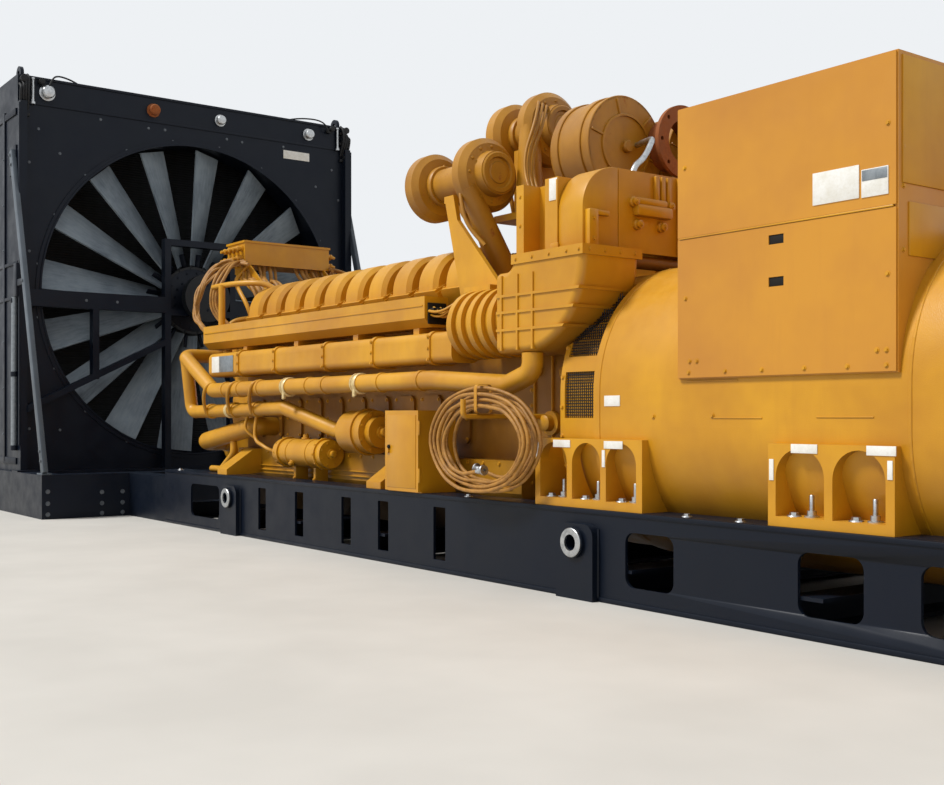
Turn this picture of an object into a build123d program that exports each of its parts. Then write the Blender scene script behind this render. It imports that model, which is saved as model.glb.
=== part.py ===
from build123d import *
import math
import os

os.makedirs("parts", exist_ok=True)

# All sizes in millimetres. +X points to the generator end, -X to the radiator, +Z up.
# The origin lies on the ground plane under the middle of the whole set.

# Clearances
seat_gap = 0.3
bearing_gap = 0.05

# Engine and generator skid
rail_front = -2500.0
rail_rear = 5000.0
rail_height = 430.0
skid_half_width = 1000.0
flange_width = 180.0
flange_thickness = 25.0
web_thickness = 16.0
slot_places = (-764.0, -225.0, 385.0, 814.0, 1395.0)
slot_width = 60.0
slot_margin = 70.0
web_hole_places = (3018.0, 3980.0, 4516.0)
web_hole_width = 300.0
web_hole_margin = 90.0
web_hole_corner = 50.0
fork_pocket_place = -1725.0
fork_pocket_width = 520.0
cross_member_count = 8
cross_member_width = 160.0
cross_member_inset = 20.0
cross_member_height = 140.0
anchor_hole_radius = 17.0
anchor_inset = 150.0
lug_places = (-1230.0, 2560.0)
lug_width = 260.0
lug_height = 360.0
lug_corner = 60.0
lug_thickness = 40.0
lug_boss_radius = 75.0
lug_boss_length = 55.0
lug_hole_radius = 38.0
lug_hole_height = 270.0

# Radiator package
radiator_front = -4163.0
radiator_depth = 837.0
radiator_rear = radiator_front - radiator_depth
radiator_base_end = -3300.0
radiator_base_height = 370.0
radiator_beam_width = 200.0
base_overhang = 50.0
ring_radius = 1500.0
ring_clearance = 130.0
ring_depth = 280.0
ring_lip = 45.0
panel_margin = 200.0
header_gap = 180.0
header_height = 250.0
bottom_tank_height = 200.0
core_thickness = 260.0
core_inset = 120.0
sheet = 12.0
corner_post_depth = 80.0
corner_post_width = 60.0
post_size = 90.0
frame_bar = 60.0
frame_gap = 20.0
frame_beam_height = 150.0
sill_height = 90.0
upright_line = 335.0
short_post_line = 1030.0
frame_top_rise = 560.0
strut_low_drop = 1100.0
strut_high_drop = 450.0
brace_size = 80.0
brace_drop = 240.0
eye_radius = 70.0
eye_hole_radius = 30.0
eye_thickness = 30.0
fan_height = radiator_base_height + ring_clearance + ring_radius
radiator_half_width = ring_radius + panel_margin
header_bottom = fan_height + ring_radius + header_gap
header_top = header_bottom + header_height

# Fan
fan_tip_gap = 25.0
blade_count = 16
first_blade_angle = 15.8
blade_root_radius = 300.0
blade_root_chord = 220.0
blade_tip_chord = 330.0
blade_thickness = 16.0
blade_root_pitch = 42.0
blade_tip_pitch = 64.0
fan_plane_inset = 140.0
hub_radius = 330.0
hub_length = 160.0
shaft_radius = 45.0
pulley_radius = 230.0
pulley_width = 90.0
pulley_gap = 40.0
bearing_size = 220.0
bearing_length = 120.0

# Engine
crank_height = 900.0
engine_front = -1760.0
engine_rear = 1750.0
block_half_width = 620.0
block_bottom = 620.0
block_shoulder = 1370.0
bank_angle = 30.0
deck_distance = 780.0
deck_half = 230.0
valley_depth = 130.0
valley_half_width = 150.0
cylinder_count = 10
cylinder_pitch = 293.0
first_cylinder = -1560.0
head_width = 250.0
head_height = 175.0
cover_flange_width = 228.0
cover_flange_height = 16.0
cover_width = 200.0
cover_rise = 135.0
cover_inset = 15.0
cover_chamfer = 26.0
door_width = 225.0
door_height = 290.0
door_rise = 18.0
door_corner = 45.0
door_level = 850.0
pan_half_width = 560.0
pan_shoulder_half = 700.0
pan_bottom = 180.0
pan_shoulder = 440.0
engine_mount_places = (-1450.0, 680.0)
engine_mount_width = 160.0
engine_mount_base = 40.0
flywheel_rear = 2250.0
flywheel_half_width = 625.0
flywheel_top = 1560.0
flywheel_bottom = 260.0
flywheel_corner = 480.0
gear_case_depth = 260.0
gear_case_top = 1500.0
gear_case_low = 460.0
gear_case_taper = 0.88
gear_cover_radius = 380.0
gear_cover_depth = 40.0
damper_radius = 320.0
damper_depth = 150.0
low_pump_radius = 140.0
low_pump_depth = 220.0
high_pump_radius = 110.0
high_pump_depth = 300.0
pump_cover_depth = 50.0
pump_neck_radius = 80.0
pump_neck_length = 120.0
thermostat_height = 270.0
thermostat_half_width = 420.0
thermostat_neck_line = 280.0
thermostat_neck_reach = 190.0
thermostat_neck_rise = 340.0
control_length = 330.0
control_half_width = 400.0
control_height = 200.0
control_bottom = 2130.0
control_front = -2600.0
control_foot_rise = 60.0
bracket_thickness = 14.0

# Air side
manifold_out = 950.0
manifold_bottom = 1165.0
manifold_top = 1345.0
manifold_depth = 190.0
manifold_corner = 45.0
manifold_end = 1440.0
manifold_joints = (-1250.0, -680.0, 8.0, 610.0, 1222.0)
manifold_band = 30.0
band_rise = 9.0
runner_width = 120.0
runner_height = 100.0
duct_out = 870.0
duct_bottom = 1390.0
duct_top = 1570.0
duct_depth = 170.0
duct_bevel = 50.0
duct_front = -2040.0
duct_end = 1060.0
duct_bracket_places = (-1400.0, -600.0, 200.0, 900.0)
duct_bracket_width = 60.0
duct_bracket_height = 40.0
bellows_radius = 190.0
bellows_neck = 165.0
bellows_drop = 30.0
bellows_ribs = 5
bellows_pitch = 90.0
bellows_rib = 40.0
bellows_end = 1930.0
elbow_line = 820.0
elbow_rear = 2590.0
elbow_outer_radius = 450.0
elbow_inner_radius = 80.0
elbow_size = 420.0
elbow_width = 380.0
elbow_corner = 40.0
elbow_bottom = 1190.0
elbow_rib = 8.0
elbow_rib_width = 14.0
elbow_rib_heights = (1310.0, 1400.0, 1485.0)
elbow_rib_places = (1970.0, 2100.0, 2220.0)
elbow_rib_foot = 1205.0
elbow_rib_head = 1590.0
elbow_flange = 50.0
elbow_clearance = 12.0
bell_notch_height = 1450.0
column_front = 2055.0
column_length = 545.0
channel_front = 1990.0
channel_strip = 60.0
channel_block = 100.0
channel_out = 930.0
channel_depth = 130.0
channel_web = 20.0
channel_top = 2060.0
cooler_front = 2320.0
cooler_length = 180.0
cooler_half_width = 930.0
cooler_top = 2100.0
cooler_end_width = 240.0
cooler_end_corner = 230.0

# Exhaust side
exhaust_line = 105.0
exhaust_rise = 230.0
exhaust_radius = 95.0
exhaust_leg_places = (-1400.0, -400.0, 500.0)
exhaust_leg_length = 80.0
exhaust_leg_width = 60.0
pedestal_inset = 10.0
pedestal_head_front = 1300.0
pedestal_head_half = 280.0
table_clearance = 125.0
table_front = 1220.0
table_rear = 2240.0
table_half_width = 480.0
table_thickness = 40.0
turbo_radius = 215.0
turbo_neck_radius = 103.0
turbo_step = 290.0
low_turbo_line = 600.0
high_turbo_line = 240.0
low_turbine_place = 780.0
low_compressor_place = 1300.0
high_turbine_place = 1120.0
high_compressor_place = 1450.0
saddle_length = 90.0
outlet_start_radius = 60.0
outlet_end_radius = 84.0
bracket_head_front = 1060.0
bracket_head_rear = 1150.0
bracket_line = 714.0
bracket_bar = 40.0
bracket_foot_front = 1225.0
bracket_foot_rear = 1640.0
bracket_foot_thickness = 30.0
bracket_tongue_front = 1400.0
collector_front = 1800.0
collector_rear = 2150.0
collector_line = 300.0
collector_radius = 270.0
collector_round = 60.0
flue_radius = 120.0
flue_wall = 20.0
flue_flange = 80.0
flue_length = 120.0
flue_flange_thickness = 24.0
flue_bolt_count = 8
flue_bolt_radius = 11.0
flue_rise = 310.0

# Pipes
water_pipe_radius = 55.0
water_pipe_front = -2250.0
lower_pipe_radius = 50.0
feed_pipe_radius = 70.0
drain_radius = 25.0
pipe_line = 945.0
lower_pipe_line = 900.0
feed_pipe_line = 820.0
pipe_bend = 75.0
oil_cooler_radius = 95.0
oil_cooler_flange = 12.0
oil_cooler_front = -800.0
oil_cooler_rear = -130.0
oil_cooler_height = 612.0
oil_cooler_flange_inset = 60.0
housing_radius = 150.0
housing_front = 60.0
housing_length = 410.0
housing_height = 765.0
housing_collar = 40.0

# Generator
generator_front = 2600.0
generator_rear = 4780.0
generator_inset = 50.0
generator_half_width = skid_half_width - generator_inset
generator_top = 1620.0
generator_bottom = 180.0
generator_corner = 640.0
bell_inset = 18.0
bell_front = 2340.0
bell_front_radius = 600.0
end_bell_depth = 150.0
end_bell_chamfer = 60.0
exciter_radius = 430.0
exciter_depth = 55.0
screen_front = 2372.0
screen_rear = 2592.0
screen_spans = ((860.0, 1085.0), (1160.0, 1470.0))
screen_depth = 20.0
foot_inset = 15.0
foot_out = skid_half_width - foot_inset
foot_height = 330.0
foot_base = 40.0
foot_depth = 210.0
foot_strip = 38.0
foot_spans = ((2210.0, 2960.0, 3), (3672.0, 4250.0, 2))

# Terminal box
terminal_front = 3160.0
terminal_rear = 4250.0
terminal_reveal = 12.0
terminal_half_width = generator_half_width + terminal_reveal
terminal_bottom = 1030.0
terminal_seam = 1640.0
terminal_top = 2210.0
skirt_depth = 640.0
panel_thickness = 8.0
panel_reveal = 10.0
handle_place = 3700.0
handle_heights = (1580.0, 1410.0)
handle_width = 75.0
handle_height = 38.0

# Junction box
junction_left = 880.0
junction_right = 1225.0
junction_top = 900.0
junction_depth = 240.0
junction_reach = 5.0
junction_out = skid_half_width + junction_reach
door_thickness = 22.0
door_trim = 3.0
junction_wall = 6.0
latch_radius = 14.0
latch_inset = 40.0

# Hose
coil_left = 1420.0
coil_right = 2375.0
coil_bottom = 452.0
coil_top = 1030.0
coil_band = 150.0
coil_in = 1012.0
coil_out = 1165.0
hook_radius = 14.0
hook_reach = 40.0
hook_tip = 90.0


def save(piece, label):
    piece.part.label = label
    export_step(piece.part, f"parts/{label}.step")


# Skid rails: channels with the flanges turned inward, pierced webs


def skid_rail(side, label):
    web_middle = side * (skid_half_width - web_thickness / 2)
    flange_middle = side * (skid_half_width - flange_width / 2)
    web_hole_height = rail_height - 2 * web_hole_margin
    with BuildPart() as rail:
        with BuildSketch(Plane.YZ.offset(rail_front)):
            with Locations((flange_middle, rail_height / 2)):
                Rectangle(flange_width, rail_height)
            with Locations((flange_middle - side * web_thickness, rail_height / 2)):
                Rectangle(flange_width, rail_height - 2 * flange_thickness, mode=Mode.SUBTRACT)
        extrude(amount=rail_rear - rail_front)
        with BuildSketch(Plane.XZ.offset(-web_middle)):
            with Locations(*[(place, rail_height / 2) for place in slot_places]):
                Rectangle(slot_width, rail_height - 2 * slot_margin)
            with Locations(*[(place, rail_height / 2) for place in web_hole_places]):
                RectangleRounded(web_hole_width, web_hole_height, web_hole_corner)
            with Locations((fork_pocket_place, rail_height / 2)):
                RectangleRounded(fork_pocket_width, web_hole_height, web_hole_corner)
        extrude(amount=web_thickness, both=True, mode=Mode.SUBTRACT)
        with Locations(
            (rail_front + anchor_inset, flange_middle, flange_thickness / 2),
            (rail_rear - anchor_inset, flange_middle, flange_thickness / 2),
        ):
            Cylinder(anchor_hole_radius, 2 * flange_thickness, mode=Mode.SUBTRACT)
    save(rail, label)


skid_rail(-1, "skid_rail_near")
skid_rail(1, "skid_rail_far")

# Cross members: channels between the two webs

with BuildPart() as cross_members:
    inner_half = skid_half_width - web_thickness
    member_middle = flange_thickness + cross_member_height / 2
    first_member = rail_front + cross_member_inset + cross_member_width / 2
    last_member = rail_rear - cross_member_inset - cross_member_width / 2
    member_pitch = (last_member - first_member) / (cross_member_count - 1)
    member_places = [first_member + member_pitch * n for n in range(cross_member_count)]
    with BuildSketch(Plane.XZ.offset(-inner_half)):
        with Locations(*[(place, member_middle) for place in member_places]):
            Rectangle(cross_member_width, cross_member_height)
        with Locations(*[(place + web_thickness / 2, member_middle) for place in member_places]):
            Rectangle(
                cross_member_width - web_thickness,
                cross_member_height - 2 * web_thickness,
                mode=Mode.SUBTRACT,
            )
    extrude(amount=2 * inner_half)
save(cross_members, "skid_cross_members")

# Lifting lugs: round-topped plates with a bored boss, welded to the rail webs

with BuildPart() as lugs:
    for side in (-1, 1):
        plate_plane = Plane.XZ.offset(-side * skid_half_width)
        with BuildSketch(plate_plane):
            with Locations(*[(place, lug_height / 2) for place in lug_places]):
                Rectangle(lug_width, lug_height)
        extrude(amount=-side * lug_thickness)
        with BuildSketch(plate_plane):
            with Locations(*[(place, lug_hole_height) for place in lug_places]):
                Circle(lug_boss_radius)
        extrude(amount=-side * lug_boss_length)
        with BuildSketch(plate_plane):
            with Locations(*[(place, lug_hole_height) for place in lug_places]):
                Circle(lug_hole_radius)
        extrude(amount=-side * lug_boss_length, mode=Mode.SUBTRACT)
    top_corners = lugs.edges().filter_by(Axis.Y).group_by(Axis.Z)[-1]
    fillet(top_corners, radius=lug_corner)
save(lugs, "lifting_lugs")

# Radiator base: a welded frame of four beams and a sill for the fan frame

frame_rear = radiator_front + frame_gap
frame_middle = frame_rear + post_size / 2
base_half = radiator_half_width + base_overhang
base_front = radiator_base_end - radiator_beam_width
base_rear = radiator_rear + radiator_beam_width
base_inner = base_half - radiator_beam_width

with BuildPart() as radiator_base:
    with BuildSketch(Plane.XY):
        with Locations(((radiator_rear + radiator_base_end) / 2, 0)):
            Rectangle(radiator_base_end - radiator_rear, 2 * base_half)
        with Locations(((base_rear + base_front) / 2, 0)):
            Rectangle(base_front - base_rear, 2 * base_inner, mode=Mode.SUBTRACT)
    extrude(amount=radiator_base_height)
    with BuildSketch(Plane.XY.offset(radiator_base_height - sill_height)):
        with Locations((frame_middle, 0)):
            Rectangle(post_size, 2 * base_inner)
    extrude(amount=sill_height)
save(radiator_base, "radiator_base")

# Links from the radiator base to the engine skid

with BuildPart() as skid_links:
    link_middle = skid_half_width - flange_width / 2
    with BuildSketch(Plane.XY):
        for side in (-1, 1):
            with Locations(((radiator_base_end + rail_front) / 2, side * link_middle)):
                Rectangle(rail_front - radiator_base_end, flange_width)
    extrude(amount=radiator_base_height)
save(skid_links, "skid_links")


def centred_block(x_low, x_high, half_width, z_low, z_high, label):
    with BuildPart() as body:
        with BuildSketch(Plane.XY.offset(z_low)):
            with Locations(((x_low + x_high) / 2, 0)):
                Rectangle(x_high - x_low, 2 * half_width)
        extrude(amount=z_high - z_low)
    save(body, label)


# Radiator core between a bottom tank and a header tank

core_rear = radiator_rear + 2 * sheet + seat_gap
core_front = core_rear + core_thickness
core_half = radiator_half_width - core_inset
core_bottom = radiator_base_height + bottom_tank_height

centred_block(core_rear, core_front, core_half, core_bottom, header_bottom, "radiator_core")
centred_block(
    core_rear, core_front + sheet, core_half, radiator_base_height, core_bottom,
    "radiator_bottom_tank",
)

with BuildPart() as header_tank:
    with BuildSketch(Plane.XY.offset(header_bottom)):
        with Locations(((radiator_rear + radiator_front) / 2, 0)):
            Rectangle(radiator_depth, 2 * radiator_half_width)
    extrude(amount=header_height)
    eye_line = radiator_half_width - 2 * eye_thickness
    for side in (-1, 1):
        with BuildSketch(Plane.XZ.offset(-side * eye_line)):
            with Locations((radiator_front - 2 * eye_radius, header_top + eye_radius / 2)):
                Circle(eye_radius)
                Circle(eye_hole_radius, mode=Mode.SUBTRACT)
        extrude(amount=eye_thickness / 2, both=True)
save(header_tank, "radiator_header_tank")

# Radiator side sheets with a folded rear flange, and a corner post in front of each

with BuildPart() as radiator_sides:
    with BuildSketch(Plane.XY.offset(radiator_base_height)):
        for side in (-1, 1):
            sheet_line = side * (radiator_half_width - sheet / 2)
            flange_line = side * (radiator_half_width - core_inset / 2)
            post_line = side * (radiator_half_width - corner_post_width / 2)
            with Locations(((radiator_rear + radiator_front) / 2, sheet_line)):
                Rectangle(radiator_depth, sheet)
            with Locations((radiator_rear + sheet, flange_line)):
                Rectangle(2 * sheet, core_inset)
            with Locations((radiator_front + corner_post_depth / 2, post_line)):
                Rectangle(corner_post_depth, corner_post_width)
    extrude(amount=header_bottom - radiator_base_height)
    with BuildSketch(Plane.XY.offset(radiator_base_height)):
        for side in (-1, 1):
            foot_line = side * (base_half - radiator_beam_width / 2)
            with Locations((radiator_front + corner_post_depth, foot_line)):
                Rectangle(2 * corner_post_depth, radiator_beam_width)
    extrude(amount=sheet)
save(radiator_sides, "radiator_sides")

# Fan shroud: two half panels around the fan opening, and the ring in it


def shroud_half(side, label):
    width = radiator_half_width - sheet
    height = header_bottom - radiator_base_height
    with BuildPart() as panel:
        with BuildSketch(Plane.YZ.offset(radiator_front - sheet)):
            with Locations((side * width / 2, radiator_base_height + height / 2)):
                Rectangle(width, height)
            with Locations((0, fan_height)):
                Circle(ring_radius + sheet, mode=Mode.SUBTRACT)
        extrude(amount=sheet)
    save(panel, label)


shroud_half(-1, "shroud_panel_near")
shroud_half(1, "shroud_panel_far")

with BuildPart() as ring:
    with BuildSketch(Plane.XZ):
        with BuildLine():
            Polyline(
                (radiator_front - ring_depth, fan_height + ring_radius),
                (radiator_front - ring_depth, fan_height + ring_radius + sheet),
                (radiator_front, fan_height + ring_radius + sheet),
                (radiator_front, fan_height + ring_radius + ring_lip),
                (radiator_front + sheet, fan_height + ring_radius + ring_lip),
                (radiator_front + sheet, fan_height + ring_radius),
                close=True,
            )
        make_face()
    revolve(axis=Axis((0, 0, fan_height), (1, 0, 0)))
save(ring, "fan_ring")

# Fan frame: two uprights with a head bar, side beams, short posts and slanted struts

frame_top = fan_height + frame_top_rise
beam_end = radiator_half_width - corner_post_width
shelf_top = fan_height - bearing_size / 2
strut_slope = (strut_low_drop - strut_high_drop) / (beam_end - upright_line)
short_post_height = strut_low_drop - (beam_end - short_post_line) * strut_slope

with BuildPart() as fan_frame:
    with BuildSketch(Plane.YZ.offset(frame_rear)):
        with Locations((0, frame_top - frame_bar / 2), (0, shelf_top - frame_bar / 2)):
            Rectangle(2 * upright_line, frame_bar)
        for side in (-1, 1):
            with Locations((side * upright_line, (radiator_base_height + frame_top) / 2)):
                Rectangle(frame_bar, frame_top - radiator_base_height)
            beam_middle = side * (upright_line + beam_end) / 2
            with Locations((beam_middle, fan_height - frame_beam_height / 2)):
                Rectangle(beam_end - upright_line, frame_beam_height)
            with Locations((side * short_post_line, fan_height - short_post_height / 2)):
                Rectangle(frame_bar, short_post_height)
            with BuildLine():
                Polyline(
                    (side * beam_end, fan_height - strut_low_drop),
                    (side * beam_end, fan_height - strut_low_drop + frame_bar),
                    (side * upright_line, fan_height - strut_high_drop + frame_bar),
                    (side * upright_line, fan_height - strut_high_drop),
                    close=True,
                )
            make_face()
    extrude(amount=post_size)
save(fan_frame, "fan_frame")

with BuildPart() as bearing:
    with BuildSketch(Plane.YZ.offset(frame_rear)):
        with Locations((0, fan_height)):
            Rectangle(bearing_size, bearing_size)
            Circle(shaft_radius + bearing_gap, mode=Mode.SUBTRACT)
    extrude(amount=bearing_length)
    chamfer(bearing.edges().filter_by(Axis.X).group_by(Axis.Z)[-1], length=bearing_size / 4)
save(bearing, "fan_bearing")

# Fan rotor: twisted blades on a hub, shaft through the bearing, belt pulley in front

fan_plane = radiator_front - fan_plane_inset
blade_tip_radius = ring_radius - fan_tip_gap
pulley_start = frame_rear + bearing_length + pulley_gap

with BuildPart() as rotor:
    with BuildSketch(Plane.YZ.offset(fan_plane - hub_length / 2)):
        with Locations((0, fan_height)):
            Circle(hub_radius)
    extrude(amount=hub_length)
    with BuildSketch(Plane.YZ.offset(fan_plane)):
        with Locations((0, fan_height)):
            Circle(shaft_radius)
    extrude(amount=pulley_start + pulley_width - fan_plane)
    with BuildSketch(Plane.YZ.offset(pulley_start)):
        with Locations((0, fan_height)):
            Circle(pulley_radius)
    extrude(amount=pulley_width)
    for blade in range(blade_count):
        angle = math.radians(first_blade_angle + 360 / blade_count * blade)
        outward = Vector(0, math.cos(angle), math.sin(angle))
        around = Vector(0, -outward.Z, outward.Y)
        centre = Vector(fan_plane, 0, fan_height)
        for radius, chord, pitch in (
            (blade_root_radius, blade_root_chord, blade_root_pitch),
            (blade_tip_radius, blade_tip_chord, blade_tip_pitch),
        ):
            turn = math.radians(pitch)
            chord_direction = Vector(math.cos(turn), 0, 0) + around * math.sin(turn)
            with BuildSketch(Plane(centre + outward * radius, chord_direction, outward)):
                Rectangle(chord, blade_thickness)
        loft(ruled=True)
save(rotor, "fan_rotor")

# Braces from the radiator base up to the corner posts

with BuildPart() as braces:
    foot = Vector(radiator_base_end - radiator_beam_width / 2, 0, radiator_base_height)
    head = Vector(radiator_front + corner_post_depth, 0, header_bottom - brace_drop)
    for side in (-1, 1):
        with BuildSketch(Plane.XZ.offset(-side * (radiator_half_width - brace_size))):
            with BuildLine():
                Polyline(
                    (foot.X + brace_size / 2, foot.Z),
                    (foot.X - brace_size / 2, foot.Z),
                    (head.X, head.Z - 2 * brace_size),
                    (head.X, head.Z + brace_size),
                    close=True,
                )
            make_face()
        extrude(amount=-side * brace_size)
save(braces, "radiator_braces")

# Oil pan with a wide top rail

with BuildPart() as pan:
    with BuildSketch(Plane.YZ.offset(engine_front)):
        with BuildLine():
            Polyline(
                (-pan_half_width, pan_bottom),
                (-pan_shoulder_half, pan_shoulder),
                (-pan_shoulder_half, block_bottom),
                (pan_shoulder_half, block_bottom),
                (pan_shoulder_half, pan_shoulder),
                (pan_half_width, pan_bottom),
                close=True,
            )
        make_face()
    extrude(amount=engine_rear - engine_front)
save(pan, "oil_pan")

# Engine mounts: gusseted brackets from the pan rails down to the skid

with BuildPart() as mounts:
    mount_out = skid_half_width - web_thickness
    mount_shelf = pan_shoulder_half + 1.5 * engine_mount_base
    for place in engine_mount_places:
        for side in (-1, 1):
            with BuildSketch(Plane.YZ.offset(place - engine_mount_width / 2)):
                with BuildLine():
                    Polyline(
                        (side * pan_shoulder_half, max(rail_height, pan_shoulder)),
                        (side * (skid_half_width - flange_width), rail_height),
                        (side * mount_out, rail_height),
                        (side * mount_out, rail_height + engine_mount_base),
                        (side * mount_shelf, block_bottom),
                        (side * pan_shoulder_half, block_bottom),
                        close=True,
                    )
                make_face()
            extrude(amount=engine_mount_width)
save(mounts, "engine_mounts")

# Points on a cylinder bank: along the cylinder axis, and across it towards the outside

lean = math.radians(bank_angle)


def bank_point(side, along, across):
    y = side * (math.sin(lean) * along + math.cos(lean) * across)
    z = crank_height + math.cos(lean) * along - math.sin(lean) * across
    return (y, z)


def deck_point(side, z):
    across = (crank_height + math.cos(lean) * deck_distance - z) / math.sin(lean)
    return bank_point(side, deck_distance, across)


valley_floor = bank_point(1, deck_distance, -deck_half)[1] - valley_depth

# Engine block with a row of crankcase doors on each side

with BuildPart() as engine_block:
    with BuildSketch(Plane.YZ.offset(engine_front)):
        with BuildLine():
            Polyline(
                (-block_half_width, block_bottom),
                (-block_half_width, block_shoulder),
                bank_point(-1, deck_distance, deck_half),
                bank_point(-1, deck_distance, -deck_half),
                (-valley_half_width, valley_floor),
                (valley_half_width, valley_floor),
                bank_point(1, deck_distance, -deck_half),
                bank_point(1, deck_distance, deck_half),
                (block_half_width, block_shoulder),
                (block_half_width, block_bottom),
                close=True,
            )
        make_face()
    extrude(amount=engine_rear - engine_front)
    for side in (-1, 1):
        with BuildSketch(Plane.XZ.offset(-side * block_half_width)):
            for cylinder in range(cylinder_count):
                with Locations((first_cylinder + cylinder * cylinder_pitch, door_level)):
                    RectangleRounded(door_width, door_height, door_corner)
        extrude(amount=-side * door_rise)
save(engine_block, "engine_block")

# Cylinder heads: one casting per cylinder, each with a flanged, domed rocker cover


def heads(side, label):
    flange_low = deck_distance + head_height
    dome_low = flange_low + cover_flange_height
    inner = -deck_half + cover_inset
    outer = deck_half - cover_inset
    with BuildPart() as bank:
        for cylinder in range(cylinder_count):
            middle = first_cylinder + cylinder * cylinder_pitch
            for width, low, high in (
                (head_width, deck_distance, flange_low),
                (cover_flange_width, flange_low, dome_low),
            ):
                with BuildSketch(Plane.YZ.offset(middle - width / 2)):
                    with BuildLine():
                        Polyline(
                            bank_point(side, low, -deck_half),
                            bank_point(side, high, -deck_half),
                            bank_point(side, high, deck_half),
                            bank_point(side, low, deck_half),
                            close=True,
                        )
                    make_face()
                extrude(amount=width)
            with BuildSketch(Plane.YZ.offset(middle - cover_width / 2)):
                with BuildLine():
                    ThreePointArc(
                        bank_point(side, dome_low, inner),
                        bank_point(side, dome_low + cover_rise, 0),
                        bank_point(side, dome_low, outer),
                    )
                    Line(bank_point(side, dome_low, outer), bank_point(side, dome_low, inner))
                make_face()
            extrude(amount=cover_width)
        chamfer(bank.edges().filter_by(GeomType.CIRCLE), length=cover_chamfer)
    save(bank, label)


heads(-1, "cylinder_heads_near")
heads(1, "cylinder_heads_far")

# Front gear case with a round cover, and the thermostat housing on it with two raised necks


def bent_pipe(radius, bend, *points):
    with BuildPart() as pipe:
        with BuildLine() as route:
            FilletPolyline(*points, radius=bend)
        with BuildSketch(Plane(route.line @ 0, z_dir=route.line % 0)):
            Circle(radius)
        sweep(path=route.line)
    return pipe.part


gear_case_front = engine_front - gear_case_depth
gear_half = block_half_width + door_rise
thermostat_middle = gear_case_top + thermostat_height / 2
thermostat_top = gear_case_top + thermostat_height

with BuildPart() as gear_case:
    with BuildSketch(Plane.YZ.offset(gear_case_front)):
        with BuildLine():
            Polyline(
                (-gear_half * gear_case_taper, gear_case_low),
                (-gear_half, crank_height),
                (-gear_half * gear_case_taper, gear_case_top),
                (gear_half * gear_case_taper, gear_case_top),
                (gear_half, crank_height),
                (gear_half * gear_case_taper, gear_case_low),
                close=True,
            )
        make_face()
    extrude(amount=gear_case_depth)
    with BuildSketch(Plane.YZ.offset(gear_case_front)):
        with Locations((0, crank_height)):
            Circle(gear_cover_radius)
    extrude(amount=-gear_cover_depth)
    with BuildSketch(Plane.YZ.offset(gear_case_front)):
        with Locations((0, thermostat_middle)):
            RectangleRounded(2 * thermostat_half_width, thermostat_height, manifold_corner)
    extrude(amount=gear_case_depth)
    for side in (-1, 1):
        neck_line = side * thermostat_neck_line
        neck_turn = gear_case_front - thermostat_neck_reach
        add(bent_pipe(
            water_pipe_radius,
            pipe_bend,
            (gear_case_front, neck_line, thermostat_middle),
            (neck_turn, neck_line, thermostat_middle),
            (neck_turn, neck_line, thermostat_middle + thermostat_neck_rise),
        ))
save(gear_case, "front_gear_case")

with BuildPart() as damper:
    with BuildSketch(Plane.YZ.offset(gear_case_front - gear_cover_depth)):
        with Locations((0, crank_height)):
            Circle(damper_radius)
    extrude(amount=-damper_depth)
save(damper, "crankshaft_damper")

# Front pumps: two low and two high, each a drum with a stepped cover and a side neck

low_pump_line = gear_cover_radius + 80
low_pump_height = crank_height - gear_cover_radius + 80
high_pump_line = gear_cover_radius - 40
high_pump_height = gear_case_top - high_pump_radius - 40
low_neck_place = gear_case_front - low_pump_depth / 2
low_neck_height = low_pump_height + low_pump_radius - pump_neck_radius

with BuildPart() as pumps:
    for side in (-1, 1):
        for line, height, radius, depth, neck_place, neck_height in (
            (
                low_pump_line, low_pump_height, low_pump_radius, low_pump_depth,
                low_neck_place, low_neck_height,
            ),
            (
                high_pump_line, high_pump_height, high_pump_radius, high_pump_depth,
                water_pipe_front, high_pump_height,
            ),
        ):
            for share, length in ((1.0, depth), (0.7, depth + pump_cover_depth)):
                with BuildSketch(Plane.YZ.offset(gear_case_front)):
                    with Locations((side * line, height)):
                        Circle(radius * share)
                extrude(amount=-length)
            with BuildSketch(Plane.XZ.offset(-side * line)):
                with Locations((neck_place, neck_height)):
                    Circle(pump_neck_radius)
            extrude(amount=-side * (radius / 2 + pump_neck_length))
save(pumps, "front_pumps")

# Control box in front of the banks, on two bracket plates

control_rear = control_front + control_length

with BuildPart() as control_box:
    with BuildSketch(Plane.XY.offset(control_bottom)):
        with Locations(((control_front + control_rear) / 2, 0)):
            Rectangle(control_length, 2 * control_half_width)
    extrude(amount=control_height)
    with BuildSketch(Plane.XY.offset(control_bottom + control_height - 2 * band_rise)):
        with Locations(((control_front + control_rear) / 2, 0)):
            Rectangle(control_length + 2 * band_rise, 2 * (control_half_width + band_rise))
    extrude(amount=2 * band_rise)
save(control_box, "control_box")

with BuildPart() as control_stand:
    stand_line = thermostat_half_width - manifold_corner - bracket_thickness
    for side in (-1, 1):
        with BuildSketch(Plane.XZ.offset(-side * stand_line)):
            with BuildLine():
                Polyline(
                    (engine_front - pedestal_inset, thermostat_top),
                    (gear_case_front + gear_cover_depth, thermostat_top),
                    (control_front + control_foot_rise, control_bottom - control_foot_rise),
                    (control_front + control_foot_rise, control_bottom),
                    (control_rear, control_bottom),
                    close=True,
                )
            make_face()
        extrude(amount=side * bracket_thickness)
save(control_stand, "control_box_stand")

# Flywheel housing

with BuildPart() as flywheel_housing:
    with BuildSketch(Plane.YZ.offset(engine_rear)):
        with Locations((0, (flywheel_top + flywheel_bottom) / 2)):
            RectangleRounded(2 * flywheel_half_width, flywheel_top - flywheel_bottom, flywheel_corner)
    extrude(amount=flywheel_rear - engine_rear)
save(flywheel_housing, "flywheel_housing")

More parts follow.
